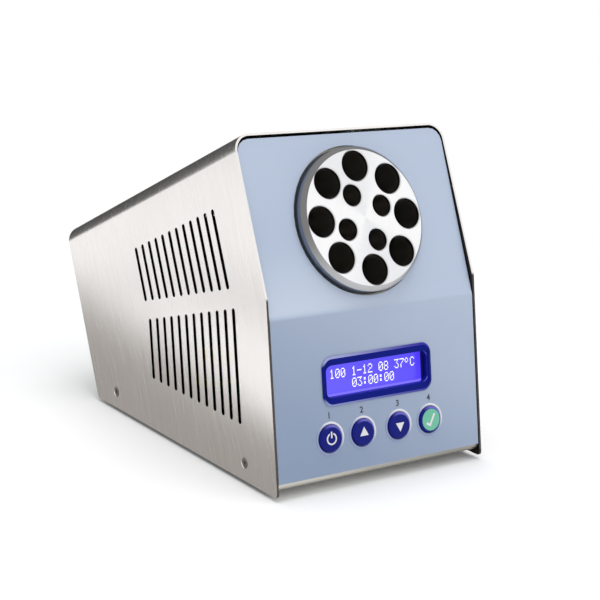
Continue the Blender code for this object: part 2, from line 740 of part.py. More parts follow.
def heating_block():
    """Turned aluminium head and body, with a ring of large wells round four small ones."""
    edge = Vector((BLOCK_RADIUS - BLOCK_EDGE, -BLOCK_EDGE))
    bend = arc(edge, BLOCK_EDGE, math.pi / 2, -math.pi / 2, EDGE_STEPS)
    front = ([(0.0, 0.0)] + [(point.x, point.y) for point in bend]
             + [(BLOCK_RADIUS, -BLOCK_HEAD), (0.0, -BLOCK_HEAD)])
    joint = -BLOCK_HEAD - SEAT
    rear = [(0.0, joint), (BLOCK_RADIUS, joint), (BLOCK_RADIUS, WELL_CHAMFER - BLOCK_LENGTH),
            (BLOCK_RADIUS - WELL_CHAMFER, -BLOCK_LENGTH), (0.0, -BLOCK_LENGTH)]
    head = turned("block_head", front, BLOCK_STEPS, BLOCK)
    body = turned("heating_block", rear, BLOCK_STEPS, BLOCK)
    bm = bmesh.new()
    for centre in large_well_centres():
        add_turned(bm, well_profile(LARGE_WELL_RADIUS, LARGE_WELL_DEPTH), WELL_STEPS, centre.x, centre.y)
    for centre in small_well_centres():
        add_turned(bm, well_profile(SMALL_WELL_RADIUS, SMALL_WELL_DEPTH), SMALL_WELL_STEPS,
                   centre.x, centre.y)
    probe_hole = drill("block_probe_hole", PROBE_RADIUS + BORE_CLEARANCE, [(-SENSOR_SPREAD, 0.0)],
                       -BLOCK_LENGTH - MARGIN, PROBE_DEPTH + SEAT - BLOCK_LENGTH, BLOCK)
    wells = place("block_wells", bm, BLOCK)
    cut(head, wells)
    cut(body, wells, probe_hole)
    return [head, body]


def ear_line(angle):
    """How far the ring's outline is from the middle at an angle, with an ear at each screw."""
    reach = BORE + RING_WALL
    for ear in EAR_ANGLES:
        off = math.remainder(angle - ear, math.tau)
        aside = EAR_CIRCLE * math.sin(off)
        if abs(off) < math.pi / 2 and abs(aside) < EAR_RADIUS:
            reach = max(reach, EAR_CIRCLE * math.cos(off) + math.sqrt(EAR_RADIUS ** 2 - aside ** 2))
    return reach


def block_ring():
    """Heat-resisting ring that carries the block behind the front plate."""
    steps = 3 * BLOCK_STEPS // 2
    turns = [math.tau * k / steps for k in range(steps)]
    outer = [(ear_line(turn) * math.cos(turn), ear_line(turn) * math.sin(turn)) for turn in turns]
    inner = [(BORE * math.cos(turn), BORE * math.sin(turn)) for turn in turns]
    solid = loft("block_ring", [raised(outer, RING_FRONT), raised(outer, RING_REAR),
                                raised(inner, RING_REAR), raised(inner, RING_FRONT)], BLOCK)
    cut(solid, drill("ring_screw_holes", RING_SCREW_RADIUS + BORE_CLEARANCE, EAR_SPOTS, RING_REAR - MARGIN,
                     RING_FRONT + MARGIN, BLOCK))
    return [solid]


def ring_screws():
    """Screws through the ring's ears into the front plate."""
    seat = RING_REAR - SEAT
    tip = RING_FRONT + SEAT + RING_SCREW_BITE
    profile = [(0.0, seat - RING_SCREW_HEAD_HEIGHT), (RING_SCREW_HEAD, seat - RING_SCREW_HEAD_HEIGHT),
               (RING_SCREW_HEAD, seat), (RING_SCREW_RADIUS, seat), (RING_SCREW_RADIUS, tip), (0.0, tip)]
    return [turned(f"ring_screw_{k + 1}", profile, SCREW_STEPS, moved(BLOCK, *spot))
            for k, spot in enumerate(EAR_SPOTS)]


def wrap(name, inner, thickness, front, length):
    """A mat wrapped round the block, open at a seam along its underside."""
    outer = inner + thickness
    half_seam = WRAP_SEAM / 2 / inner
    start = -math.pi / 2 + half_seam
    sweep = math.tau - 2 * half_seam
    outline = (arc(Vector((0.0, 0.0)), outer, start, sweep, WRAP_STEPS)
               + arc(Vector((0.0, 0.0)), inner, start + sweep, -sweep, WRAP_STEPS))
    return prism(name, outline, front - length, front, BLOCK)


def heater_band():
    """Silicone heating mat wrapped round the block."""
    return [wrap("heater_band", BORE, HEATER_THICKNESS, RING_REAR - SEAT, HEATER_LENGTH)]


def lagging_sleeve():
    """Foam lagging round the heating mat."""
    inner = BORE + HEATER_THICKNESS + SEAT
    return [wrap("lagging_sleeve", inner, LAGGING_THICKNESS, RING_REAR - SEAT, LAGGING_LENGTH)]


def block_bracket():
    """Leaning steel bracket behind the block, with its foot on the tray."""
    rear = PANEL_KNEE + UP_PANEL * BLOCK_UP + inward(UP_PANEL) * (BLOCK_LENGTH - BLOCK_PROUD + SEAT)
    foot = crossing(rear, UP_PANEL, Vector((0.0, TRAY_TOP + SEAT)), Vector((1.0, 0.0)))
    corners = [rear + UP_PANEL * BRACKET_REACH, foot, foot + Vector((BRACKET_FOOT, 0.0))]
    line = rounded(corners, [0.0, BRACKET_BEND, 0.0])
    half = BRACKET_WIDTH / 2
    return [prism("block_bracket", strip(line, BRACKET_SHEET), -half, half, SIDE)]


def sensors():
    """Temperature probe in the block's rear and the cut-out that guards it."""
    rear = -BLOCK_LENGTH
    probe = [(0.0, rear - SEAT - PROBE_HEX), (PROBE_HEX, rear - SEAT - PROBE_HEX), (PROBE_HEX, rear - SEAT),
             (PROBE_RADIUS, rear - SEAT), (PROBE_RADIUS, rear + PROBE_DEPTH), (0.0, rear + PROBE_DEPTH)]
    face = rear - SEAT
    step = face - CUTOUT_FLANGE_THICKNESS
    guard = [(0.0, face), (CUTOUT_FLANGE, face), (CUTOUT_FLANGE, step), (CUTOUT_RADIUS, step),
             (CUTOUT_RADIUS, face - CUTOUT_HEIGHT), (0.0, face - CUTOUT_HEIGHT)]
    return [turned("temperature_probe", probe, SCREW_STEPS, moved(BLOCK, x=-SENSOR_SPREAD)),
            turned("thermal_cutout", guard, ROUND_STEPS, moved(BLOCK, x=SENSOR_SPREAD))]


def display_bezel():
    """Moulded bezel that laps over the cut-out and runs down to the display."""
    opening_width = BEZEL_WIDTH - 2 * BEZEL_SIDE_RIM
    opening_height = BEZEL_HEIGHT - 2 * BEZEL_END_RIM
    crown = BEZEL_PROUD / 2
    outer = rectangle(BEZEL_WIDTH, BEZEL_HEIGHT, BEZEL_CORNER)
    shoulder = rectangle(BEZEL_WIDTH - 2 * crown, BEZEL_HEIGHT - 2 * crown, BEZEL_CORNER - crown)
    sleeve = rectangle(BEZEL_WIDTH - 2 * BEZEL_LAP, BEZEL_HEIGHT - 2 * BEZEL_LAP, BEZEL_CORNER - BEZEL_LAP)
    brim = rectangle(opening_width + crown, opening_height + crown, BEZEL_INNER_CORNER + crown / 2)
    opening = rectangle(opening_width, opening_height, BEZEL_INNER_CORNER)
    deep = -(DISPLAY_RECESS - SEAT - FRAME_LIP - SEAT)
    loops = [raised(outer, SEAT), raised(outer, BEZEL_PROUD - crown), raised(shoulder, BEZEL_PROUD),
             raised(brim, BEZEL_PROUD), raised(opening, BEZEL_PROUD - crown), raised(opening, deep),
             raised(sleeve, deep), raised(sleeve, SEAT)]
    return [loft("display_bezel", loops, DISPLAY)]


def display_module():
    """Display: a steel frame with a window, the glass inside it and the board behind."""
    front = -(DISPLAY_RECESS - SEAT - FRAME_LIP)
    back = -(BOARD_DEPTH - SEAT)
    outer = rectangle(FRAME_WIDTH, FRAME_HEIGHT, 0.0)
    pocket = rectangle(FRAME_WIDTH - 2 * FRAME_WALL, FRAME_HEIGHT - 2 * FRAME_WALL, 0.0)
    window = rectangle(WINDOW_WIDTH, WINDOW_HEIGHT, 0.0)
    frame = loft("display_frame", [raised(outer, front), raised(outer, back), raised(pocket, back),
                                   raised(pocket, front - FRAME_LIP), raised(window, front - FRAME_LIP),
                                   raised(window, front)], DISPLAY)
    inset = 2 * (FRAME_WALL + SEAT)
    glass = prism("display_glass", rectangle(FRAME_WIDTH - inset, FRAME_HEIGHT - inset),
                  -DISPLAY_RECESS - GLASS_THICKNESS, -DISPLAY_RECESS, DISPLAY)
    board = prism("display_board", rectangle(DISPLAY_BOARD_WIDTH, DISPLAY_BOARD_HEIGHT),
                  -BOARD_DEPTH - BOARD_SHEET, -BOARD_DEPTH, DISPLAY)
    cut(board, post_holes("display_board_holes", DISPLAY_POST_X, DISPLAY_POST_Y, -BOARD_DEPTH, DISPLAY))
    return frame, glass, board


def post_holes(name, x, y, front, frame):
    """Four holes in a board, for the pins of its posts."""
    spots = [(sx * x, sy * y) for sx, sy in CORNERS]
    back = front - BOARD_SHEET
    return drill(name, POST_PIN_RADIUS + BORE_CLEARANCE, spots, back - MARGIN, front + MARGIN, frame)


def posts(name, x, y, start, front, frame):
    """Four posts that carry a board, each with a pin through it."""
    seat = front + SEAT
    tip = front - BOARD_SHEET - POST_TIP
    profile = [(0.0, start), (POST_RADIUS, start), (POST_RADIUS, seat), (POST_PIN_RADIUS, seat),
               (POST_PIN_RADIUS, tip), (0.0, tip)]
    return [turned(f"{name}_{k + 1}", profile, SCREW_STEPS, moved(frame, sx * x, sy * y))
            for k, (sx, sy) in enumerate(CORNERS)]


def key_shape():
    """Profile of one key: a bevelled cap, a flange that keeps it in, and a stem into its switch."""
    under = -(PLATE_BACK + SEAT)
    low = under - KEY_FLANGE_THICKNESS
    tip = switch_top() - SWITCH_GRIP
    return [(0.0, tip), (KEY_STEM_RADIUS, tip), (KEY_STEM_RADIUS, low), (KEY_RADIUS + KEY_FLANGE, low),
            (KEY_RADIUS + KEY_FLANGE, under), (KEY_RADIUS, under), (KEY_RADIUS, 0.0),
            (KEY_RADIUS - KEY_SHOULDER, KEY_SHOULDER_UP), (KEY_RADIUS - KEY_BEVEL, KEY_PROUD),
            (0.0, KEY_PROUD)]


def switch_top():
    """Height of the switches' faces behind the panel."""
    return -(BOARD_DEPTH - SEAT - SWITCH_HEIGHT)


def keys_and_switches():
    """Four keys, and the switches that they press."""
    caps = []
    switches = []
    top = switch_top()
    for name, x in KEY_PLACES.items():
        key = turned(name, key_shape(), KEY_STEPS, moved(LOWER, x, KEY_UP))
        switch = prism(name.replace("key", "switch"), rectangle(SWITCH_SIDE, SWITCH_SIDE, SWITCH_CORNER),
                       top - SWITCH_HEIGHT, top, moved(LOWER, x, KEY_UP))
        floor = top - SWITCH_GRIP - KEY_TRAVEL - SEAT
        cut(switch, drill(f"{switch.name}_bore", KEY_STEM_RADIUS + KEY_CLEARANCE, [(x, KEY_UP)], floor,
                          top + MARGIN, LOWER))
        caps.append(key)
        switches.append(switch)
    return caps, switches


def key_board():
    """Board that carries the switches."""
    frame = moved(LOWER, y=KEY_UP)
    board = prism("key_board", rectangle(KEY_BOARD_WIDTH, KEY_BOARD_HEIGHT),
                  -BOARD_DEPTH - BOARD_SHEET, -BOARD_DEPTH, frame)
    cut(board, post_holes("key_board_holes", KEY_POST_X, KEY_POST_Y, -BOARD_DEPTH, frame))
    return [board]


def front_posts():
    """Posts behind the front plate, for the display's board and the keys' board."""
    start = -(PLATE_BACK + SEAT)
    key_frame = moved(LOWER, y=KEY_UP)
    return (posts("display_post", DISPLAY_POST_X, DISPLAY_POST_Y, start, -BOARD_DEPTH, DISPLAY)
            + posts("key_post", KEY_POST_X, KEY_POST_Y, start, -BOARD_DEPTH, key_frame))


def supply_board():
    """Supply board over the tray, and the posts that it stands on."""
    frame = Matrix.Translation((0.0, SUPPLY_Y, TRAY_TOP + SEAT)) @ Matrix.Rotation(math.pi, 4, "X")
    board = prism("supply_board", rectangle(SUPPLY_WIDTH, SUPPLY_DEPTH),
                  -SUPPLY_LIFT - BOARD_SHEET, -SUPPLY_LIFT, frame)
    cut(board, post_holes("supply_board_holes", SUPPLY_POST_X, SUPPLY_POST_Y, -SUPPLY_LIFT, frame))
    return board, posts("supply_post", SUPPLY_POST_X, SUPPLY_POST_Y, 0.0, -SUPPLY_LIFT, frame)


def supply_level():
    """Height at which parts stand on the supply board."""
    return TRAY_TOP + SEAT + SUPPLY_LIFT + BOARD_SHEET + SEAT


def transformer():
    """Laminated transformer, with its coil standing out at both sides of the core."""
    low = supply_level()
    frame = Matrix.Translation((TRANSFORMER_X, SUPPLY_Y, low))
    core = prism("transformer", rectangle(TRANSFORMER_WIDTH, TRANSFORMER_COIL, 0.0),
                 0.0, TRANSFORMER_HEIGHT, frame)
    rim = (TRANSFORMER_HEIGHT - TRANSFORMER_COIL) / 2
    coil = prism("transformer_coil", rectangle(TRANSFORMER_COIL, TRANSFORMER_DEPTH, rim / 2),
                 rim, TRANSFORMER_HEIGHT - rim, frame)
    fuse(core, coil)
    return [core]


def heat_sink():
    """Extruded heat sink with upright fins."""
    gap = (SINK_WIDTH - SINK_FINS * SINK_FIN) / (SINK_FINS - 1)
    outline = [Vector((-SINK_WIDTH / 2, 0.0)), Vector((SINK_WIDTH / 2, 0.0))]
    for k in range(SINK_FINS):
        right = SINK_WIDTH / 2 - k * (SINK_FIN + gap)
        outline += [Vector((right, SINK_DEPTH)), Vector((right - SINK_FIN, SINK_DEPTH))]
        if k < SINK_FINS - 1:
            outline += [Vector((right - SINK_FIN, SINK_BASE)), Vector((right - SINK_FIN - gap, SINK_BASE))]
    frame = Matrix.Translation((SINK_X, SUPPLY_Y + SINK_Y, supply_level()))
    return [prism("heat_sink", outline, 0.0, SINK_HEIGHT, frame)]


def relay():
    """Relay that switches the heater."""
    frame = Matrix.Translation((RELAY_X, SUPPLY_Y + RELAY_Y, supply_level()))
    outline = rectangle(RELAY_WIDTH, RELAY_DEPTH, RELAY_EDGE, steps=2)
    return [prism("heater_relay", outline, 0.0, RELAY_HEIGHT, frame)]


def socket_outline():
    """Mouth of the mains socket, with its two lower corners cut off."""
    half = SOCKET_WIDTH / 2
    low = SOCKET_RISE - SOCKET_HEIGHT / 2
    high = SOCKET_RISE + SOCKET_HEIGHT / 2
    return [Vector((half, high)), Vector((-half, high)), Vector((-half, low + SOCKET_CHAMFER)),
            Vector((SOCKET_CHAMFER - half, low)), Vector((half - SOCKET_CHAMFER, low)),
            Vector((half, low + SOCKET_CHAMFER))]


def mains_inlet():
    """Mains inlet with three pins, and a pocket under the socket for the fuse drawer."""
    frame = moved(REAR, INLET_X, INLET_UP)
    flange_top = SEAT + INLET_FLANGE
    solid = prism("mains_inlet", rectangle(INLET_FLANGE_WIDTH, INLET_FLANGE_HEIGHT, INLET_CORNER),
                  SEAT, flange_top, frame)
    body = prism("inlet_body", rectangle(INLET_BODY_WIDTH, INLET_BODY_HEIGHT, 0.0), -INLET_BODY_DEPTH,
                 SEAT + INLET_FLANGE / 2, frame)
    fuse(solid, body)
    pocket = rectangle(DRAWER_WIDTH + 2 * SEAT, DRAWER_HEIGHT + 2 * SEAT, 0.0, y=-DRAWER_DROP)
    cut(solid, prism("inlet_socket", socket_outline(), flange_top - SOCKET_DEPTH, MARGIN, frame),
        prism("inlet_pocket", pocket, flange_top - DRAWER_DEPTH - SEAT, MARGIN, frame))
    floor = flange_top - SOCKET_DEPTH
    bm = bmesh.new()
    side = PIN_SPACING / 2
    rise = PIN_OFFSET / 2
    for x, y in ((-side, -rise), (side, -rise), (0.0, rise)):
        pin = rectangle(PIN_THICKNESS, PIN_WIDTH, 0.0, x, SOCKET_RISE + y)
        add_prism(bm, pin, floor - PIN_THICKNESS, floor + PIN_LENGTH)
    fuse(solid, place("inlet_pins", bm, frame))
    return [solid]


def fuse_drawer():
    """Drawer that holds the fuses, with a lip to pull it by."""
    frame = moved(REAR, INLET_X, INLET_UP - DRAWER_DROP, SEAT + INLET_FLANGE)
    solid = prism("fuse_drawer", rectangle(DRAWER_WIDTH, DRAWER_HEIGHT, 0.0),
                  -DRAWER_DEPTH, DRAWER_LIP, frame)
    groove = rectangle(DRAWER_GRIP_WIDTH, DRAWER_GRIP_HEIGHT, 0.0, y=DRAWER_HEIGHT / 4)
    cut(solid, prism("drawer_grip", groove, DRAWER_GRIP_FLOOR, MARGIN, frame))
    return [solid]


def switch_box_size():
    """Outer width and height of the power switch's box, behind its flange."""
    wall = 2 * (SWITCH_BOX_WALL + KEY_CLEARANCE)
    return ROCKER_WIDTH + wall, 2 * ROCKER_RADIUS + wall


def rocker_outline():
    """The rocker seen from its end, about its pivot: two shallow slopes over a round belly."""
    rise = math.asin(ROCKER_DEPTH / ROCKER_RADIUS)
    low = math.asin(ROCKER_BELLY / ROCKER_RADIUS)
    tilt = ROCKER_SWING / 2
    centre = Vector((0.0, 0.0))
    right = arc(centre, ROCKER_RADIUS, -low, low + rise + tilt, CORNER_STEPS)
    left = arc(centre, ROCKER_RADIUS, math.pi - rise - tilt, rise + tilt + low, CORNER_STEPS)
    valley = Vector((0.0, ROCKER_DEPTH + ROCKER_VALLEY))
    turn = Matrix.Rotation(tilt, 2)
    return [turn @ point for point in right + [valley] + left]


def power_switch():
    """Rocker switch: a box in the rear panel and the rocker on its two pins."""
    frame = moved(REAR, ROCKER_X, ROCKER_UP)
    width, height = switch_box_size()
    clear = KEY_CLEARANCE
    lap = 2 * SWITCH_BOX_LAP
    top = SEAT + SWITCH_BOX_FLANGE
    box = prism("switch_box", rectangle(width + lap, height + lap, SWITCH_BOX_LAP), SEAT, top, frame)
    fuse(box, prism("switch_box_body", rectangle(width, height, 0.0), -SWITCH_BOX_DEPTH,
                    SEAT + SWITCH_BOX_FLANGE / 2, frame))
    pocket = rectangle(ROCKER_WIDTH + 2 * clear, 2 * (ROCKER_RADIUS + clear), 0.0)
    pivot = moved(frame, z=top - ROCKER_DEPTH)
    across = pivot @ Matrix.Rotation(math.pi / 2, 4, "Y")
    reach = ROCKER_WIDTH / 2 + ROCKER_PIN_LENGTH
    floor = top - ROCKER_DEPTH - ROCKER_RADIUS - clear
    bores = drill("switch_box_bores", ROCKER_PIN_RADIUS + clear, [(0.0, 0.0)],
                  -reach - clear, reach + clear, across)
    cut(box, prism("switch_box_pocket", pocket, floor, MARGIN, frame), bores)
    ends = pivot @ Matrix(((0, 0, 1, 0), (1, 0, 0, 0), (0, 1, 0, 0), (0, 0, 0, 1)))
    rocker = prism("power_rocker", rocker_outline(), -ROCKER_WIDTH / 2, ROCKER_WIDTH / 2, ends)
    fuse(rocker, prism("rocker_pins", circle(ROCKER_PIN_RADIUS, SCREW_STEPS), -reach, reach, ends))
    return [box, rocker]


def paint(solids, finish):
    """Gives solids their material."""
    for solid in solids:
        solid.data.materials.append(finish)


def main():
    """Builds every piece, each group with its own material."""
    for item in list(bpy.data.objects):
        bpy.data.objects.remove(item, do_unlink=True)
    paint(cover(), material("brushed_steel", (0.60, 0.58, 0.56), 0.35, 1.0))
    paint(cover_screws(), material("screw_steel", (0.45, 0.45, 0.45), 0.30, 1.0))
    paint(front_panel(), material("panel_blue", (0.45, 0.55, 0.70), 0.45))
    paint(front_plate(), material("plate_steel", (0.62, 0.62, 0.60), 0.35, 1.0))
    paint(base_tray(), material("tray_steel", (0.50, 0.50, 0.50), 0.45, 1.0))
    paint(rear_panel(), material("rear_steel", (0.60, 0.58, 0.56), 0.40, 1.0))
    paint(flange_screws(), material("flange_screw_steel", (0.45, 0.45, 0.45), 0.30, 1.0))
    paint(feet(), material("foot_rubber", (0.03, 0.03, 0.03), 0.80))
    paint(heating_block(), material("block_aluminium", (0.85, 0.85, 0.86), 0.30, 1.0))
    paint(block_ring(), material("ring_polymer", (0.75, 0.73, 0.68), 0.55))
    paint(ring_screws(), material("ring_screw_steel", (0.45, 0.45, 0.45), 0.30, 1.0))
    paint(heater_band(), material("heater_silicone", (0.55, 0.12, 0.06), 0.60))
    paint(lagging_sleeve(), material("lagging_foam", (0.06, 0.06, 0.06), 0.90))
    paint(block_bracket(), material("bracket_steel", (0.55, 0.55, 0.53), 0.45, 1.0))
    paint(sensors(), material("sensor_metal", (0.70, 0.66, 0.58), 0.40, 1.0))
    paint(display_bezel(), material("bezel_navy", (0.02, 0.02, 0.22), 0.30))
    frame, glass, display_board = display_module()
    paint([frame], material("frame_steel", (0.10, 0.10, 0.12), 0.40, 1.0))
    paint([glass], material("display_blue", (0.12, 0.08, 0.90), 0.20))
    caps, switches = keys_and_switches()
    paint(caps, material("key_navy", (0.02, 0.02, 0.24), 0.35))
    paint(switches, material("key_switch_black", (0.03, 0.03, 0.03), 0.45))
    board, supply_posts = supply_board()
    paint([display_board, board] + key_board(), material("board_green", (0.02, 0.18, 0.07), 0.50))
    paint(front_posts() + supply_posts, material("post_nylon", (0.70, 0.70, 0.66), 0.55))
    paint(transformer(), material("core_iron", (0.12, 0.11, 0.10), 0.60))
    paint(heat_sink(), material("sink_black", (0.03, 0.03, 0.03), 0.45, 1.0))
    paint(relay(), material("relay_blue", (0.03, 0.10, 0.35), 0.40))
    paint(mains_inlet(), material("inlet_black", (0.02, 0.02, 0.02), 0.45))
    paint(fuse_drawer(), material("drawer_black", (0.03, 0.03, 0.03), 0.40))
    paint(power_switch(), material("switch_black", (0.03, 0.03, 0.03), 0.35))


main()
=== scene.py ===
"""Studio view of a bench-top incubator for platelet-rich plasma tubes.

The fixed frame brings the casing and its works. The pieces modelled here are those whose
surfaces show most: the folded cover and its screws, the heated block, the display's bezel and
figures, the keys, and the marks on the power switch.
Metres, +Z up, with the front along -Y.
"""

import json
import math

import bpy
from mathutils import Matrix, Vector

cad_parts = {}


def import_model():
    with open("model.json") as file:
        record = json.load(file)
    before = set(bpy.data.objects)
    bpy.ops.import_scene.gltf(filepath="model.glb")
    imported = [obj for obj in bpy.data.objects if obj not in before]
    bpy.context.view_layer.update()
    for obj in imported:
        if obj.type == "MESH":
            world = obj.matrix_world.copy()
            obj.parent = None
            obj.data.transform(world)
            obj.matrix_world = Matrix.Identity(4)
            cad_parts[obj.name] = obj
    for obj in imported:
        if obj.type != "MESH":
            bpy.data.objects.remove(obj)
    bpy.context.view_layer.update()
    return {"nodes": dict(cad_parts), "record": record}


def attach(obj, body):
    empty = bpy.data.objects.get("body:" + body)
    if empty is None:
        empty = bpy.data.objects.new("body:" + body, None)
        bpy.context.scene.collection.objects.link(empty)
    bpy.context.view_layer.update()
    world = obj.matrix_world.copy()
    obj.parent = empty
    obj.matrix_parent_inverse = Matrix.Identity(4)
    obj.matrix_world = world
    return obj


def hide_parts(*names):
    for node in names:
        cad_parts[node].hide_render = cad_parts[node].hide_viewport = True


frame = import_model()

# Tilts of the faces, and where each face's own frame starts
LOWER_TILT = math.radians(9.35)
PANEL_TILT = math.radians(23.0)
MAIN_TILT = math.radians(24.4)
KEY_LINE = (-0.112794, 0.02726)
DISPLAY_PLACE = (-0.0008, -0.108091, 0.055826)
BLOCK_PLACE = (0.0, -0.090074, 0.13629)
REAR_PLACE = (0.0, 0.071912, 0.005)
ROCKER_PIVOT = (0.030, 0.091747, 0.050906)

# How near two heights have to be to count as one
NEAR = 0.00001

# Heated block: a well and the probe's hole are given by radius and depth
BLOCK_RADIUS = 0.0388
BLOCK_LENGTH = 0.086
BLOCK_CHAMFER = 0.0025
LARGE_WELLS = 8
LARGE_WELL = (0.0082, 0.070)
LARGE_CIRCLE = 0.0277
SMALL_WELLS = 4
SMALL_WELL = (0.0058, 0.042)
SMALL_CIRCLE = 0.0134
SMALL_TURN = math.radians(114)
WELL_FLARE = 0.0005
WELL_OVER = 0.0002
WELLS_REACH = BLOCK_RADIUS - BLOCK_CHAMFER
PROBE_HOLE = (0.0018, 0.0123)
PROBE_X = -0.0285
RIM_BREAK = 0.00012
FOOT_BREAK = 0.0004

# Display: its levels are heights out of the lower front
BEZEL_SIZE = (0.0716, 0.0260)
BEZEL_RISE = 0.0003
BEZEL_CORNER = 0.006
BEZEL_SEAT = 0.0003
BEZEL_EDGE = 0.00055
BEZEL_CREST = 0.0011
BEZEL_SLOPE = 0.0013
BEZEL_SIDE_RIM = 0.00225
BEZEL_OPENING = 0.0168
BEZEL_LAP = 0.0012
BEZEL_DEEP = -0.0033
BEZEL_ROUNDS = ((BEZEL_EDGE, 0.0002, 2), (BEZEL_CREST, 0.0003, 4))
GLASS_LEVEL = -0.0047
FIGURE_PITCH = (0.003535, 0.000707)
FIGURE_LEFT = -0.0274
FIGURE_TOPS = (0.0056, -0.00045)
DOT_GAP = 0.00014
DOT_HEIGHT = 0.00002
FIGURE_TEXTS = {"figures_upper": "100 1-12 08 37°C", "figures_lower": "    03:00:00    "}

# Dots of each figure from its top row down: the bits of a number are the dots from left to right
FIGURE_LINES = 7
FIGURE_COLUMNS = 6
FIGURE_ROWS = {
    "0": (14, 17, 19, 21, 25, 17, 14), "1": (4, 12, 4, 4, 4, 4, 14), "2": (14, 17, 1, 6, 8, 16, 31),
    "3": (31, 2, 4, 2, 1, 17, 14), "7": (31, 1, 2, 4, 8, 8, 8), "8": (14, 17, 17, 14, 17, 17, 14),
    "-": (0, 0, 0, 31, 0, 0, 0), ":": (0, 12, 12, 0, 12, 12, 0), "C": (14, 17, 16, 16, 16, 17, 14),
    "°": (12, 18, 18, 12, 0, 0, 0), " ": (0, 0, 0, 0, 0, 0, 0)}

# Keys: x of each; flange as radius, low and high; stem as radius and tip; collar as two radii and height
KEYS = {"key_power": -0.0333, "key_up": -0.0124, "key_down": 0.0114, "key_set": 0.0325}
KEY_RADIUS = 0.0072
KEY_FLANGE = (0.0084, -0.0034, -0.0026)
KEY_STEM = (0.0018, -0.0081)
KEY_CROWN = 0.0015
KEY_ROUND = 0.0014
COLLAR = (0.0088, 0.00756, 0.00035)
COLLAR_ROUND = 0.0003
SET_FACE = 0.0059
NUMERAL_UP = 0.01045
NUMERAL_SIZE = 0.0046
NUMERAL_WEIGHT = 0.00012
NUMERAL_LIFT = 0.00002

# Icons on the keys
ICON_HEIGHT = 0.00005
ICON_RADIUS = 0.0032
POWER_HOLE = 0.0024
POWER_GAP = (0.0022, 0.0028)
POWER_GAP_UP = 0.0027
POWER_BAR = (0.0009, 0.0034)
POWER_BAR_UP = 0.0021
TICK_WIDTH = 0.0012
TICK_ARMS = (0.0062, 0.0022)
TICK_TURN = math.radians(-62)
TICK_PLACE = (-0.0008, -0.0028)

# Marks on the power switch: how far up and out from its pivot, and each half's slope in degrees
ROCKER_LOW = (-0.004334, 0.003224, 3.43)
ROCKER_HIGH = (0.00297, 0.00451, 16.55)
MARK_HEIGHT = 0.00006
ROCKER_BAR = (0.0005, 0.0028)
ROCKER_RING = (0.0015, 0.0011)

# Pins in the inlet's socket and the transformer's core, for their finishes
INLET_PLACE = (0.032, 0.060)
PIN_SPREAD = 0.007
PIN_SHIFT = 0.002
PIN_HALVES = (0.0011, 0.0021)
PIN_TIPS = -0.0140
CORE_MIDDLE = 0.024
CORE_HALF = 0.0110

# Cover: places and directions in its side view are (y, z)
COVER_WIDTH = 0.136
COVER_SHEET = 0.0012
COVER_BEND = 0.0095
COVER_TOE = Vector((-0.117258, 0.002))
TOE_CUT = 0.0025
UP_LOWER = Vector((math.sin(LOWER_TILT), math.cos(LOWER_TILT)))
UP_MAIN = Vector((math.sin(MAIN_TILT), math.cos(MAIN_TILT)))
BACK = Vector((UP_MAIN.y, -UP_MAIN.x))
COVER_LOWER = 0.100
COVER_UPPER = 0.0866
COVER_TOP = COVER_TOE + UP_LOWER * COVER_LOWER + UP_MAIN * COVER_UPPER
TOP_LENGTH = 0.200
COVER_LEG = 0.200

# Vents: an upper row square to the top and a lower row along the lower front
VENT_COUNT = 12
VENT_WIDTH = 0.0030
UPPER_VENTS = {"start": 0.0325, "pitch": 0.00795, "drop": 0.0307}
LOWER_VENTS = {"start": 0.0363, "pitch": 0.00811, "foot": 0.0292}
VENT_BAND_DROP = 0.0825
VENT_BAND = COVER_TOP - UP_MAIN * VENT_BAND_DROP
VENT_GAP = Vector((0.0, 0.0052))
CUTTER_OVER = 0.01

# Cut edges of the cover's side walls and the knees, where light and shade are painted
WALL_INSIDE = COVER_WIDTH / 2 - COVER_SHEET - 0.0002
VENTS_ALONG = (-0.1055, 0.0)
KNEE_HEIGHT = 0.1006
PANEL_KNEE_HEIGHT = 0.0908

# Cover's screws: shank, head, sink and length, then the hole's mouth, throat and depth
COVER_SCREWS = {"left_front": (-1, -0.086257), "left_rear": (-1, 0.051712),
                "right_front": (1, -0.086257), "right_rear": (1, 0.051712)}
COVER_SCREW_UP = 0.0116
COVER_SCREW_SUNK = 0.00015
COVER_SCREW = (0.0015, 0.0028, 0.0011, 0.006)
SINK = (0.0031, 0.0018, 0.0011)
SINK_OVER = 0.0002
HEAD_EDGE = 0.00015
HEAD_ROUND = 0.0001
RECESS = (0.0030, 0.00055, 0.0009)
RECESS_TURN = 0.35
RECESS_TAPER = 0.6

# Studio: each light's place, size and power, and each card's size, place and turn
LIGHTS_MEET = (0.0, -0.02, 0.08)
LIGHTS = {"front_box": ((0.38, -1.15, 1.20), (1.9, 1.5), 11.0),
          "top_box": ((-0.10, 0.15, 1.50), (1.4, 1.2), 18.0)}
REAR_CARD = ((1.75, 0.95), (0.125, 1.0, 0.485), math.pi / 2)
LEFT_CARD = ((0.055, 0.50), (-0.0925, 0.12, 0.001), 0.0)
CLOUD_CARD = ((0.055, 0.24), (-0.285, 0.23, 0.001), 0.0)
WORLD_AS_LIGHT = ((0.96, 0.98, 1.0, 1.0), 0.5)
WORLD_AS_SEEN = ((1.0, 1.0, 1.0, 1.0), 1.0)
FLOOR_SIZE = 4.0
FLOOR_LEVEL = -0.0002
FLOOR_FADE = (0.05, 0.36)

# Camera, found from the casing's straight edges in the photo
CAMERA_LENS = 94.92
CAMERA_SENSOR = 36.0
CAMERA_PLACE = (-0.49552, -0.73046, 0.29363)
CAMERA_TURN = (75.8931, -2.237, -34.8831)


def leaning(place, tilt):
    """A frame on a face that leans back: X across, Y up the face and Z out of it."""
    return Matrix.Translation(place) @ Matrix.Rotation(math.pi / 2 - tilt, 4, "X")


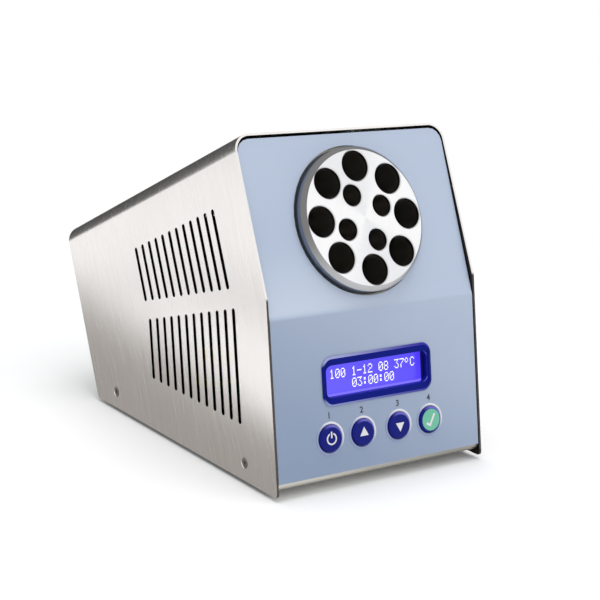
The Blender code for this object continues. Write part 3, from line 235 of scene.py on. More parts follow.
COVER = leaning((0.0, *COVER_TOP), MAIN_TILT)
BLOCK = leaning(BLOCK_PLACE, PANEL_TILT)
DISPLAY = leaning(DISPLAY_PLACE, LOWER_TILT)


# Modelling

def select_only(piece):
    """Leaves one piece selected and active."""
    bpy.ops.object.select_all(action="DESELECT")
    piece.select_set(True)
    bpy.context.view_layer.objects.active = piece


def begin(name, add, **sizes):
    """Adds a primitive, with its place in its mesh."""
    close()
    bpy.ops.object.select_all(action="DESELECT")
    add(**sizes)
    piece = bpy.context.object
    piece.name = name
    bpy.ops.object.transform_apply(location=True, rotation=True, scale=True)
    return piece


def close():
    """Leaves edit mode."""
    if bpy.context.mode == "EDIT_MESH":
        bpy.ops.object.mode_set(mode="OBJECT")


def open_piece(piece, kind):
    """Clears a piece's selection before some of it is picked, and returns its mesh."""
    close()
    select_only(piece)
    mesh = piece.data
    for group in (mesh.vertices, mesh.edges, mesh.polygons):
        group.foreach_set("select", [False] * len(group))
    bpy.context.tool_settings.mesh_select_mode = [kind == known for known in ("VERT", "EDGE", "FACE")]
    return mesh


def pick_faces(piece, test):
    """Opens a piece with the faces selected whose middle and normal pass a test."""
    mesh = open_piece(piece, "FACE")
    for face in mesh.polygons:
        face.select = test(face.center, face.normal)
    bpy.ops.object.mode_set(mode="EDIT")


def pick_edges(piece, test):
    """Opens a piece with the edges selected whose two ends both pass a test."""
    mesh = open_piece(piece, "EDGE")
    for edge in mesh.edges:
        edge.select = all(test(mesh.vertices[k].co) for k in edge.vertices)
    bpy.ops.object.mode_set(mode="EDIT")


def pick_points(piece, test):
    """Opens a piece with the points selected that pass a test."""
    mesh = open_piece(piece, "VERT")
    for point in mesh.vertices:
        point.select = test(point.co)
    bpy.ops.object.mode_set(mode="EDIT")


def at_height(height):
    """A test for points, or for the middles of faces, at one height."""
    return lambda point, normal=None: abs(point.z - height) < NEAR


def pick_all(piece):
    """Opens a piece with all of it selected."""
    pick_faces(piece, lambda middle, normal: True)


def stretch(x, y, z=1.0):
    """Resizes what is selected about the origin."""
    bpy.ops.transform.resize(value=(x, y, z), center_override=(0.0, 0.0, 0.0))


def slide(x, y, z=0.0):
    """Moves what is selected."""
    bpy.ops.transform.translate(value=(x, y, z))


def box(name, x, y, z):
    """Adds a box round the origin and leaves it open, with all of it selected."""
    made = begin(name, bpy.ops.mesh.primitive_cube_add, size=1.0)
    pick_all(made)
    stretch(x, y, z)
    return made


def rod(name, radius, low, high, steps, turn=0.0):
    """Adds an upright cylinder between two heights."""
    return begin(name, bpy.ops.mesh.primitive_cylinder_add, vertices=steps, radius=radius,
                 depth=high - low, location=(0.0, 0.0, (low + high) / 2), rotation=(0.0, 0.0, turn))


def push(x=0.0, y=0.0, z=0.0):
    """Extrudes what is selected and moves it."""
    bpy.ops.mesh.extrude_region_move(TRANSFORM_OT_translate={"value": (x, y, z)})


def inset(thickness, depth=0.0):
    """Insets the selected faces as one."""
    bpy.ops.mesh.inset(thickness=thickness, depth=depth)


def soften(width, segments=2):
    """Rounds the selected edges."""
    bpy.ops.mesh.bevel(offset=width, segments=segments, affect="EDGES")


def twin_of(piece, name, shift=(0.0, 0.0, 0.0)):
    """A copy with its own mesh, moved within it."""
    twin = piece.copy()
    twin.data = piece.data.copy()
    twin.name = name
    bpy.context.collection.objects.link(twin)
    twin.data.transform(Matrix.Translation(shift))
    return twin


def join(pieces):
    """Makes several pieces one."""
    close()
    select_only(pieces[0])
    for piece in pieces:
        piece.select_set(True)
    bpy.ops.object.join()
    return pieces[0]


def carve(piece, cutter):
    """Cuts a cutter out of a piece and discards it."""
    close()
    select_only(piece)
    modifier = piece.modifiers.new("carve", "BOOLEAN")
    modifier.operation = "DIFFERENCE"
    modifier.solver = "EXACT"
    modifier.object = cutter
    bpy.ops.object.modifier_apply(modifier="carve")
    bpy.data.objects.remove(cutter, do_unlink=True)


def settle(piece, place, finish, body="casing", replaces=(), angle=30):
    """Finishes a piece: its place, shading, material and the body that it rides."""
    close()
    piece.data.transform(place)
    select_only(piece)
    bpy.ops.object.shade_smooth_by_angle(angle=math.radians(angle))
    piece.data.materials.clear()
    piece.data.materials.append(finish)
    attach(piece, body)
    if replaces:
        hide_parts(*replaces)


def around(radius, count, start):
    """Places evenly round a circle."""
    turns = [start + math.tau * k / count for k in range(count)]
    return [(radius * math.cos(turn), radius * math.sin(turn)) for turn in turns]


# Materials

def linear(value):
    """One eight-bit colour value as linear light."""
    part = value / 255
    return part / 12.92 if part <= 0.04045 else ((part + 0.055) / 1.055) ** 2.4


def tone(red, green, blue):
    """A colour by its eight-bit values."""
    return (linear(red), linear(green), linear(blue), 1.0)


class Amount:
    """A number that varies over a surface, with arithmetic."""

    def __init__(self, finish, socket):
        self.finish = finish
        self.socket = socket

    def work(self, operation, *values):
        """One maths node on amounts and plain numbers."""
        node = self.finish.node("ShaderNodeMath", {"operation": operation}, dict(enumerate(values)))
        return Amount(self.finish, node.outputs[0])

    def __add__(self, other):
        return self.work("ADD", self, other)

    def __sub__(self, other):
        return self.work("SUBTRACT", self, other)

    def __rsub__(self, other):
        return self.work("SUBTRACT", other, self)

    def __mul__(self, other):
        return self.work("MULTIPLY", self, other)

    def __truediv__(self, other):
        return self.work("DIVIDE", self, other)

    def __pow__(self, other):
        return self.work("POWER", self, other)

    def size(self):
        """Without its sign."""
        return self.work("ABSOLUTE", self)

    def upper(self, other):
        """The upper of two."""
        return self.work("MAXIMUM", self, other)

    def rise(self, start, end):
        """Goes smoothly from 0 to 1 between two values."""
        node = self.finish.node("ShaderNodeMapRange", {"interpolation_type": "SMOOTHSTEP"},
                                {"Value": self, "From Min": start, "From Max": end})
        return Amount(self.finish, node.outputs["Result"])

    def spread(self, low, high):
        """Turns 0 to 1 into low to high."""
        return self * (high - low) + low


class Finish:
    """A material being made."""

    def __init__(self, name, colour=None, roughness=0.5, metallic=0.0):
        self.material = bpy.data.materials.new(name)
        self.material.use_nodes = True
        self.nodes = self.material.node_tree.nodes
        self.links = self.material.node_tree.links
        self.shader = self.nodes["Principled BSDF"]
        self.put("Roughness", roughness)
        self.put("Metallic", metallic)
        if colour:
            self.put("Base Color", colour)

    def join(self, value, socket):
        """Links or sets one input."""
        if isinstance(value, Amount):
            value = value.socket
        if isinstance(value, bpy.types.NodeSocket):
            self.links.new(value, socket)
        else:
            socket.default_value = value

    def node(self, kind, settings=None, inputs=None):
        """Adds a node: its settings first, then its inputs."""
        node = self.nodes.new(kind)
        for name, value in (settings or {}).items():
            setattr(node, name, value)
        for name, value in (inputs or {}).items():
            self.join(value, node.inputs[name])
        return node

    def put(self, name, value):
        """Sets or links one of the shader's inputs."""
        self.join(value, self.shader.inputs[name])

    def split(self, vector):
        """A vector as three amounts."""
        parts = self.node("ShaderNodeSeparateXYZ", inputs={"Vector": vector}).outputs
        return [Amount(self, part) for part in parts]

    def place(self):
        """The place on the object, as a vector."""
        return self.node("ShaderNodeTexCoord").outputs["Object"]

    def axes(self):
        """The place on the object, as three amounts."""
        return self.split(self.place())

    def facing(self):
        """The way the surface faces, as three amounts."""
        return self.split(self.node("ShaderNodeNewGeometry").outputs["Normal"])

    def vector(self, x, y, z):
        """Three amounts as a vector."""
        return self.node("ShaderNodeCombineXYZ", inputs={"X": x, "Y": y, "Z": z}).outputs["Vector"]

    def noise(self, vector, scale=1.0, detail=2.0, rough=0.5):
        """Soft noise from 0 to 1."""
        inputs = {"Vector": vector, "Scale": scale, "Detail": detail, "Roughness": rough}
        return Amount(self, self.node("ShaderNodeTexNoise", inputs=inputs).outputs["Fac"])

    def mix(self, factor, first, second):
        """A colour between two."""
        node = self.node("ShaderNodeMix", {"data_type": "RGBA"}, {0: factor, 6: first, 7: second})
        return node.outputs[2]

    def bump(self, height, distance, strength):
        """Raises the surface by a height from 0 to 1 times a distance."""
        inputs = {"Height": height, "Distance": distance, "Strength": strength}
        self.put("Normal", self.node("ShaderNodeBump", inputs=inputs).outputs["Normal"])


def wall_edge(made, x):
    """Where the surface is a cut edge of the cover's side walls."""
    aside = made.facing()[0].size()
    return x.size().rise(WALL_INSIDE, WALL_INSIDE + 0.0001) * aside.rise(0.5, 0.3)


def in_vents(along):
    """Between the first vent and the last."""
    first, last = VENTS_ALONG
    return along.rise(first - 0.0001, first) * along.rise(last, last - 0.0001)


def brushed(name, low, high, roughness, strength=0.35, painted_light_and_shade=False, painted_shade=0.0):
    """Steel sheet with fine lines up its sides and across its top, darkened towards the right by an
    amount of painted shade, and, for the cover, with light and shade painted on its top, cut edges, vent
    walls and inner faces.
    """
    made = Finish(name, metallic=1.0)
    x, y, z = made.axes()
    along = y * math.cos(MAIN_TILT) - z * math.sin(MAIN_TILT)
    up = y * math.sin(MAIN_TILT) + z * math.cos(MAIN_TILT)
    lines = made.noise(made.vector(x * 33.0, along * 2400.0, up * 33.0), detail=3.0, rough=0.7)
    bands = made.noise(made.vector(x * 6.0, along * 260.0, up * 6.0), detail=2.0)
    cloud = made.noise(made.vector(x, y, z), scale=24.0, detail=3.0)
    fine = lines.rise(0.20, 0.80)
    steel = made.mix(fine * 0.6 + cloud * 0.4, low, high)
    # Painted shade: the steel darkens towards its right.
    if painted_shade:
        steel = made.mix(x.rise(-0.060, 0.060) * painted_shade, steel, tone(60, 58, 54))
    if painted_light_and_shade:
        # Painted shade: faces that look up are darkened.
        painted_top_shade = made.facing()[2].rise(0.35, 0.85)
        steel = made.mix(painted_top_shade * 0.6, steel, tone(168, 163, 159))
        # Painted light and shade on the cut edges: dark below the knee, lit pale above it, and near
        # black along the vent walls.
        edge = made.mix(z.rise(KNEE_HEIGHT, KNEE_HEIGHT + 0.002), tone(84, 79, 75), tone(240, 238, 236))
        steel = made.mix(wall_edge(made, x), steel, made.mix(in_vents(along), edge, tone(40, 37, 35)))
        # Painted shade on the inner faces of the side walls.
        inside = (made.facing()[0] * x).rise(-0.02, -0.05)
        steel = made.mix(inside, steel, tone(62, 58, 55))
    made.put("Base Color", steel)
    made.put("Roughness", (fine * 0.5 + bands * 0.5).spread(roughness - 0.04, roughness + 0.05))
    made.bump(lines * 0.7 + bands * 0.3, 0.00002, strength)
    return made


def plain(name, colour, roughness, metallic=0.0, scale=400.0, depth=0.00002):
    """A cast, moulded or coated surface with a little unevenness."""
    made = Finish(name, metallic=metallic)
    coarse = made.noise(made.place(), scale=scale / 10)
    fine = made.noise(made.place(), scale=scale)
    darker = tuple(part * 0.88 for part in colour[:3]) + (1.0,)
    made.put("Base Color", made.mix(coarse, darker, colour))
    made.put("Roughness", coarse.spread(roughness * 0.92, roughness * 1.08))
    made.bump(fine, depth, 0.3)
    return made


def turned_metal():
    """Anodised aluminium, turned on its face and drilled, with a painted sheen in sectors on its face,
    painted shade in its wells, and painted reflections on its chamfer and side.
    """
    made = Finish("turned_aluminium", metallic=1.0)
    x, y, z = made.axes()
    up = (y - BLOCK_PLACE[1]) * math.sin(PANEL_TILT) + (z - BLOCK_PLACE[2]) * math.cos(PANEL_TILT)
    out = (z - BLOCK_PLACE[2]) * math.sin(PANEL_TILT) - (y - BLOCK_PLACE[1]) * math.cos(PANEL_TILT)
    radius = (x * x + up * up) ** 0.5
    grooves = made.noise(made.vector(radius * 3800.0, 0.0, 0.0), detail=2.0)
    broad = made.noise(made.vector(radius * 420.0, 0.0, 0.0), detail=1.0)
    back, over = made.facing()[1:]
    flat = (over * math.sin(PANEL_TILT) - back * math.cos(PANEL_TILT)).rise(0.80, 0.95)
    # Painted sheen: brighter and darker sectors across the turned face.
    painted_sheen = ((x * x - up * up + x * up) / (radius * radius).upper(0.000001)).rise(-1.1, 0.5)
    face = made.mix(broad * 0.4 + painted_sheen * 0.6, tone(231, 232, 235), tone(254, 254, 254))
    rim = radius.rise(WELLS_REACH, WELLS_REACH + 0.0001)
    # Painted shade in the wells: dark just below the mouth and paler deeper down; the flared mouth pale.
    well = made.mix(out.rise(-0.0030, -0.0008), tone(192, 187, 183), tone(70, 68, 66))
    well = made.mix(out.rise(-WELL_FLARE - 0.00002, -WELL_FLARE + 0.00004), well, tone(214, 214, 216))
    # Painted reflection: the chamfer is paler towards its foot.
    chamfer = made.mix((0.0 - up).rise(0.002, 0.036), tone(126, 124, 125), tone(194, 194, 195))
    # Painted reflection of the blue panel on the block's side below the chamfer.
    below = out.rise(-BLOCK_CHAMFER - 0.0001, -BLOCK_CHAMFER - 0.0003)
    side = radius.rise(BLOCK_RADIUS - 0.0002, BLOCK_RADIUS - 0.0001) * below
    chamfer = made.mix(side, chamfer, tone(138, 148, 165))
    turned = made.mix(rim, well, made.mix(broad * 0.4, chamfer, tone(120, 119, 118)))
    made.put("Base Color", made.mix(flat * out.rise(-0.0004, -0.0002), turned, face))
    made.put("Roughness", (grooves * 0.6 + broad * 0.4).spread(0.26, 0.40))
    made.bump(grooves, 0.000012, 0.5)
    return made


def panel_paint():
    """Pale blue coating, darker towards its lower left as painted shade, with a painted highlight just
    above the knee, and with the bare edge of the sheet showing pale.
    """
    made = Finish("panel_blue", roughness=0.42)
    x, y, z = made.axes()
    place = made.vector(x, y, z)
    speckle = made.noise(place, scale=900.0)
    cloud = made.noise(place, scale=9.0)
    # Painted shade: darker towards the lower left.
    along = (x * 0.5 + z).rise(-0.02, 0.14)
    body = made.mix(along * 0.85 + cloud * 0.15, tone(130, 147, 174), tone(181, 193, 213))
    # Painted highlight just above the knee, strongest at the left.
    knee = PANEL_KNEE_HEIGHT
    painted_highlight = z.rise(knee - 0.001, knee + 0.003) * z.rise(knee + 0.045, knee + 0.003)
    body = made.mix(painted_highlight * x.rise(0.060, -0.040), body, tone(188, 199, 217))
    aside = made.facing()[0].size().rise(0.6, 0.9)
    made.put("Base Color", made.mix(aside, body, tone(214, 218, 228)))
    made.put("Roughness", speckle.spread(0.38, 0.46))
    made.put("Coat Weight", 0.15)
    made.put("Coat Roughness", 0.35)
    made.bump(speckle, 0.00002, 0.15)
    return made


def bezel_finish():
    """Navy moulding with painted highlights on its outer slope and along its right inner wall, and a
    painted glow from the display on its inner walls.
    """
    made = Finish("bezel_navy")
    made.put("Specular IOR Level", 0.06)
    x, y, z = made.axes()
    up = (z - DISPLAY_PLACE[2]) / math.cos(LOWER_TILT) - BEZEL_RISE
    back, over = made.facing()[1:]
    out = over * math.sin(LOWER_TILT) - back * math.cos(LOWER_TILT)
    straight = [size / 2 - BEZEL_CORNER for size in BEZEL_SIZE]
    aside = (x - DISPLAY_PLACE[0]).size() - straight[0]
    above = up.size() - straight[1]
    reach = (aside.upper(0.0) ** 2 + above.upper(0.0) ** 2) ** 0.5
    crest = BEZEL_CORNER - BEZEL_SLOPE
    # Painted highlights on the outer slope: pale where it faces up or down, and paler to the left.
    slope = reach.rise(crest - 0.0002, crest + 0.0001) * out.rise(0.99, 0.95)
    tilt = over * math.cos(LOWER_TILT) + back * math.sin(LOWER_TILT)
    across_bezel = x.rise(-0.036, 0.034)
    upper = made.mix(across_bezel, tone(156, 160, 206), tone(54, 46, 156))
    lower = made.mix(across_bezel, tone(146, 156, 206), tone(72, 72, 168))
    inside = reach.rise(crest - 0.0009, crest - 0.0011) * out.rise(0.5, 0.3)
    level = ((z - DISPLAY_PLACE[2]) * math.sin(LOWER_TILT)
             - (y - DISPLAY_PLACE[1]) * math.cos(LOWER_TILT))
    # Painted highlight along the top of the right inner wall.
    painted_highlight = inside * level.rise(-0.0008, -0.0005) * level.rise(0.0002, -0.0001) * x.rise(0.028, 0.032)
    navy = made.mix(painted_highlight * 0.8, tone(14, 26, 124), tone(150, 150, 206))
    shaded = made.mix(slope * tilt.rise(0.08, 0.30), navy, upper)
    made.put("Base Color", made.mix(slope * (tilt * -1.0).rise(0.08, 0.30), shaded, lower))
    # Painted glow from the display on the inner walls.
    made.put("Emission Color", made.mix(inside, (0.0, 0.0, 0.0, 1.0), (0.002, 0.002, 0.06, 1.0)))
    made.put("Emission Strength", 1.0)
    grain = made.noise(made.vector(x, y, z), scale=300.0)
    made.put("Roughness", grain.spread(0.22, 0.28))
    made.bump(grain, 0.00002, 0.08)
    return made


def key_finish(name, x0):
    """Navy key with a painted highlight on its rounded rim, paler towards its upper right."""
    made = Finish(name)
    x, y, z = made.axes()
    across = x - x0
    up = (z - KEY_LINE[1]) / math.cos(LOWER_TILT)
    radius = (across * across + up * up) ** 0.5
    rim = radius.rise(0.0060, 0.0066)
    # Painted highlight on the rim, towards the upper right.
    aside = ((across * 0.6 + up * 0.8) / radius.upper(0.0001)).rise(0.2, 0.95)
    grain = made.noise(made.vector(x, y, z), scale=500.0)
    made.put("Base Color", made.mix(rim * aside, tone(20, 28, 118), tone(108, 104, 190)))
    made.put("Roughness", grain.spread(0.28, 0.36))
    made.put("Specular IOR Level", 0.1)
    made.bump(grain, 0.00002, 0.12)
    return made


def collar_finish(name, x0):
    """Moulded collar painted pale as a highlight, whitest towards its upper right."""
    made = Finish(name)
    x, y, z = made.axes()
    across = x - x0
    up = (z - KEY_LINE[1]) / math.cos(LOWER_TILT)
    radius = (across * across + up * up) ** 0.5
    # Painted highlight: the collar whitens towards its upper right.
    aside = ((across * 0.64 + up * 0.77) / radius.upper(0.0001)).rise(-0.25, 0.85)
    grain = made.noise(made.vector(x, y, z), scale=500.0)
    made.put("Base Color", made.mix(aside, tone(146, 158, 196), tone(226, 226, 232)))
    made.put("Roughness", grain.spread(0.30, 0.38))
    made.bump(grain, 0.00002, 0.12)
    return made


def lit_window():
    """The display's lit glass, brightest towards its lower left and darker towards its upper right as
    painted shade from the bezel, with a brighter line along its lower edge.
    """
    made = Finish("lit_window", tone(30, 20, 150), 0.22)
    x, y, z = made.axes()
    up = (z - DISPLAY_PLACE[2]) / math.cos(LOWER_TILT)
    # Painted shade from the bezel: the glow is darker towards the upper right.
    left = (x * -1.0).rise(-0.035, 0.035)
    low = (up * -1.0).rise(-0.009, 0.009)
    ripple = made.noise(made.vector(x, y, z), scale=60.0)
    glow = left * 0.55 + low * 0.3 + ripple * 0.15
    lit = made.mix(glow, tone(76, 58, 244), tone(102, 88, 255))
    made.put("Emission Color", made.mix(up.rise(-0.0077, -0.0081), lit, tone(132, 120, 255)))
    made.put("Emission Strength", 0.92)
    made.put("Roughness", ripple.spread(0.18, 0.28))
    return made


def figure_light():
    """The display's figures, which give light."""
    made = Finish("figures", tone(235, 235, 255))
    grain = made.noise(made.place(), scale=200.0)
    made.put("Emission Color", made.mix(grain, tone(235, 235, 255), tone(255, 255, 255)))
    made.put("Emission Strength", 1.0)
    return made


def board_finish():
    """Green circuit board with faint tracks and bare pads."""
    made = Finish("board_green", roughness=0.45)
    x, y, z = made.axes()
    tracks = made.node("ShaderNodeTexBrick", {"offset": 0.5},
                       {"Vector": made.vector(x, z + y, 0.0), "Scale": 160.0, "Mortar Size": 0.06,
                        "Color1": (0, 0, 0, 1), "Color2": (0.3, 0.3, 0.3, 1), "Mortar": (1, 1, 1, 1)})
    level = Amount(made, tracks.outputs["Fac"])
    made.put("Base Color", made.mix(level * 0.5, tone(18, 92, 52), tone(46, 136, 84)))
    made.bump(level, 0.00003, 0.4)
    return made


def within(amount, half):
    """1 where an amount is nearer to 0 than a half width, and 0 beyond it."""
    return amount.size().rise(half + 0.0001, half - 0.0001)


def pinned_plastic():
    """The inlet's black moulding, with bare metal pins in its socket."""
    made = Finish("inlet_black", roughness=0.42)
    x, y, z = made.axes()
    back = y - REAR_PLACE[1]
    over = z - REAR_PLACE[2]
    up = back * math.sin(MAIN_TILT) + over * math.cos(MAIN_TILT) - INLET_PLACE[1]
    out = back * math.cos(MAIN_TILT) - over * math.sin(MAIN_TILT)
    across = x * -1.0 - INLET_PLACE[0]
    half_width, half_height = PIN_HALVES
    outer = within(across.size() - PIN_SPREAD, half_width) * within(up + PIN_SHIFT, half_height)
    middle = within(across, half_width) * within(up - PIN_SHIFT, half_height)
    pins = outer.upper(middle) * out.rise(PIN_TIPS - 0.0001, PIN_TIPS + 0.0001)
    grain = made.noise(made.vector(x, y, z), scale=700.0)
    made.put("Base Color", made.mix(pins, tone(26, 26, 27), tone(205, 200, 190)))
    made.put("Metallic", pins)
    made.put("Roughness", grain.spread(0.36, 0.5))
    made.bump(grain, 0.00002, 0.3)
    return made


def iron_and_coil():
    """Transformer: laminated core, with tape round the coil at both ends."""
    made = Finish("core_iron", roughness=0.55)
    x, y, z = made.axes()
    coil = (y - CORE_MIDDLE).size().rise(CORE_HALF, CORE_HALF + 0.0002)
    sheets = made.node("ShaderNodeTexWave", {"bands_direction": "Y"},
                       {"Vector": made.vector(x, y, z), "Scale": 420.0, "Distortion": 0.4})
    layers = Amount(made, sheets.outputs["Fac"])
    core = made.mix(layers, tone(52, 50, 48), tone(86, 84, 80))
    made.put("Base Color", made.mix(coil, core, tone(196, 160, 60)))
    made.bump(layers * (1 - coil), 0.00005, 0.5)
    return made


def finishes():
    """Every material, by the record's slot or by a name of its own."""
    pale = tone(232, 232, 232)
    made = {
        # The cover's steel has light and shade painted on its top, cut edges, vent walls and inner
        # faces.
        "brushed_steel": brushed("cover_steel", tone(238, 232, 229), tone(255, 253, 251), 0.25,
                                 strength=0.2, painted_light_and_shade=True),
        "rear_steel": brushed("rear_steel", tone(172, 169, 166), tone(214, 211, 208), 0.40),
        # The front plate's strip has painted shade towards its right.
        "plate_steel": brushed("plate_steel", tone(186, 183, 174), tone(222, 219, 208), 0.34, painted_shade=0.5),
        "tray_steel": brushed("tray_steel", tone(150, 149, 147), tone(190, 189, 187), 0.45),
        "bracket_steel": brushed("bracket_steel", tone(150, 149, 147), tone(190, 189, 187), 0.45),
        "screw_steel": plain("screw_steel", tone(150, 148, 146), 0.34, 1.0),
        "flange_screw_steel": plain("flange_screw_steel", tone(165, 163, 160), 0.34, 1.0),
        "ring_screw_steel": plain("ring_screw_steel", tone(165, 163, 160), 0.34, 1.0),
        "panel_blue": panel_paint(),
        "foot_rubber": plain("foot_rubber", tone(34, 34, 35), 0.82, scale=1500.0),
        "block_aluminium": turned_metal(),
        "ring_polymer": plain("ring_polymer", tone(222, 217, 204), 0.55),
        "heater_silicone": plain("heater_silicone", tone(178, 74, 48), 0.62, scale=900.0),
        "lagging_foam": plain("lagging_foam", tone(46, 46, 48), 0.92, scale=1800.0, depth=0.0002),
        "sensor_metal": plain("sensor_metal", tone(214, 202, 176), 0.36, 1.0),
        "bezel_navy": bezel_finish(),
        "frame_steel": plain("frame_steel", tone(18, 18, 110), 0.42),
        "display_blue": lit_window(),
        "board_green": board_finish(),
        "post_nylon": plain("post_nylon", tone(224, 223, 214), 0.5),
        "key_navy": plain("key_navy", tone(28, 32, 130), 0.3),
        "key_switch_black": plain("key_switch_black", tone(38, 38, 39), 0.45),
        "core_iron": iron_and_coil(),
        "sink_black": plain("sink_black", tone(40, 40, 42), 0.42, 0.8),
        "relay_blue": plain("relay_blue", tone(38, 82, 160), 0.38),
        "inlet_black": pinned_plastic(),
        "drawer_black": plain("drawer_black", tone(36, 36, 37), 0.40),
        "switch_black": plain("switch_black", tone(34, 34, 35), 0.34),
        "figures": figure_light(),
        "icons": plain("icons", pale, 0.45),
        "green_face": plain("green_face", tone(112, 194, 164), 0.38),
        "numerals": plain("numerals", tone(50, 56, 60), 0.5),
        "marks": plain("marks", pale, 0.5)}
    return {name: finish.material for name, finish in made.items()}


# Pieces

def crossing(point, along, other, other_along):
    """Where two lines of the side view cross."""
    square = Vector((-other_along.y, other_along.x))
    return point + along * ((other - point).dot(square) / along.dot(square))


def vent_cutter(foot, tip):
    """A round-ended cutter through both side walls, drawn out from one end of a vent to the other."""
    along = (tip - foot).normalized()
    radius = VENT_WIDTH / 2
    start = foot + along * radius
    cutter = begin("vent_cutter", bpy.ops.mesh.primitive_cylinder_add, vertices=24, radius=radius,
                   depth=COVER_WIDTH + 2 * CUTTER_OVER, location=(0.0, *start),
                   rotation=(0.0, math.pi / 2, 0.0))
    pick_points(cutter, lambda point: (Vector(point[1:]) - start).dot(along) > 0)
    slide(0.0, *(along * ((tip - foot).length - VENT_WIDTH)))
    close()
    return cutter


def vent_cutters():
    """Cutters for both rows of vents, which end along a sloping band between the rows."""
    tilt = (MAIN_TILT + LOWER_TILT) / 2
    band = Vector((math.cos(tilt), -math.sin(tilt)))
    cutters = []
    for k in range(VENT_COUNT):
        top = (COVER_TOP + BACK * (UPPER_VENTS["start"] + k * UPPER_VENTS["pitch"])
               - UP_MAIN * UPPER_VENTS["drop"])
        cutters.append(vent_cutter(crossing(top, UP_MAIN, VENT_BAND + VENT_GAP, band), top))
        across = LOWER_VENTS["start"] + k * LOWER_VENTS["pitch"]
        foot = COVER_TOE + Vector((across, LOWER_VENTS["foot"]))
        cutters.append(vent_cutter(foot, crossing(foot, UP_LOWER, VENT_BAND - VENT_GAP, band)))
    return cutters


def screw_hole_cutters():
    """Cutters for the countersunk holes at the foot of each side wall."""
    mouth, throat, deep = SINK
    widen = SINK_OVER * (mouth - throat) / deep
    middle = COVER_WIDTH / 2 - deep / 2
    return [begin("hole_cutter", bpy.ops.mesh.primitive_cone_add, vertices=32, radius1=throat - widen,
                  radius2=mouth + widen, depth=deep + 2 * SINK_OVER,
                  location=(side * middle, y, COVER_SCREW_UP), rotation=(0.0, side * math.pi / 2, 0.0))
            for side, y in COVER_SCREWS.values()]


def cover_shell(finish):
    """Folded cover: top and sides of a box, rolled, cut to the side view, thickened and vented."""
    made = box("cover_shell", COVER_WIDTH, COVER_LEG, TOP_LENGTH)
    slide(0.0, -COVER_LEG / 2, -TOP_LENGTH / 2)
    pick_faces(made, lambda middle, normal: abs(normal.z) > 0.9 or normal.y < -0.9)
    bpy.ops.mesh.delete(type="FACE")
    for side in (1, -1):
        pick_edges(made, lambda point: point.y > -NEAR and point.x * side > 0)
        soften(COVER_BEND, 16)
    close()
    made.data.transform(COVER)
    outward = (0.0, -UP_LOWER.y, UP_LOWER.x)
    for point, away in ((COVER_TOE, (0.0, 0.0, -1.0)), (COVER_TOE, outward)):
        pick_all(made)
        bpy.ops.mesh.bisect(plane_co=(0.0, *point), plane_no=away, clear_outer=True)
    pick_points(made, lambda point: (Vector(point[1:]) - COVER_TOE).length < 0.0001)
    bpy.ops.mesh.bevel(offset=TOE_CUT, segments=6, affect="VERTICES")
    close()
    modifier = made.modifiers.new("sheet", "SOLIDIFY")
    modifier.thickness = COVER_SHEET
    modifier.offset = -1.0
    modifier.use_even_offset = True
    bpy.ops.object.modifier_apply(modifier="sheet")
    carve(made, join(vent_cutters() + screw_hole_cutters()))
    settle(made, Matrix.Identity(4), finish, replaces=("cover",))
    made.modifiers.new("faces", "WEIGHTED_NORMAL").keep_sharp = True
    bpy.ops.object.modifier_apply(modifier="faces")


def well_cutter(radius, depth, steps):
    """A cutter for one well, flared at its mouth, standing at the middle of the face."""
    cutter = rod("well_cutter", radius, -depth, -WELL_FLARE, steps)
    pick_faces(cutter, lambda middle, normal: normal.z > 0.9)
    rise = WELL_FLARE + WELL_OVER
    push(z=rise)
    wider = (radius + rise) / radius
    stretch(wider, wider)
    close()
    return cutter


def well_block(finish):
    """Turned block with a chamfered rim, eight large wells and four small ones."""
    block = rod("well_block", BLOCK_RADIUS, -BLOCK_LENGTH, 0.0, 144)
    pick_faces(block, lambda middle, normal: normal.z > 0.9)
    soften(BLOCK_CHAMFER, 1)
    for height in (0.0, -BLOCK_CHAMFER):
        pick_edges(block, at_height(height))
        soften(RIM_BREAK)
    pick_edges(block, at_height(-BLOCK_LENGTH))
    soften(FOOT_BREAK)
    cutters = []
    for (radius, depth), steps, spots in (
            (LARGE_WELL, 64, around(LARGE_CIRCLE, LARGE_WELLS, math.pi / 2)),
            (SMALL_WELL, 48, around(SMALL_CIRCLE, SMALL_WELLS, SMALL_TURN))):
        first = well_cutter(radius, depth, steps)
        cutters += [twin_of(first, f"well_cutter_{len(cutters)}_{k}", (x, y, 0.0))
                    for k, (x, y) in enumerate(spots)]
        bpy.data.objects.remove(first, do_unlink=True)
    radius, depth = PROBE_HOLE
    probe = begin("probe_cutter", bpy.ops.mesh.primitive_cylinder_add, vertices=24, radius=radius,
                  depth=2 * depth, location=(PROBE_X, 0.0, -BLOCK_LENGTH))
    carve(block, join(cutters + [probe]))
    settle(block, BLOCK, finish, replaces=("block_head", "heating_block"))


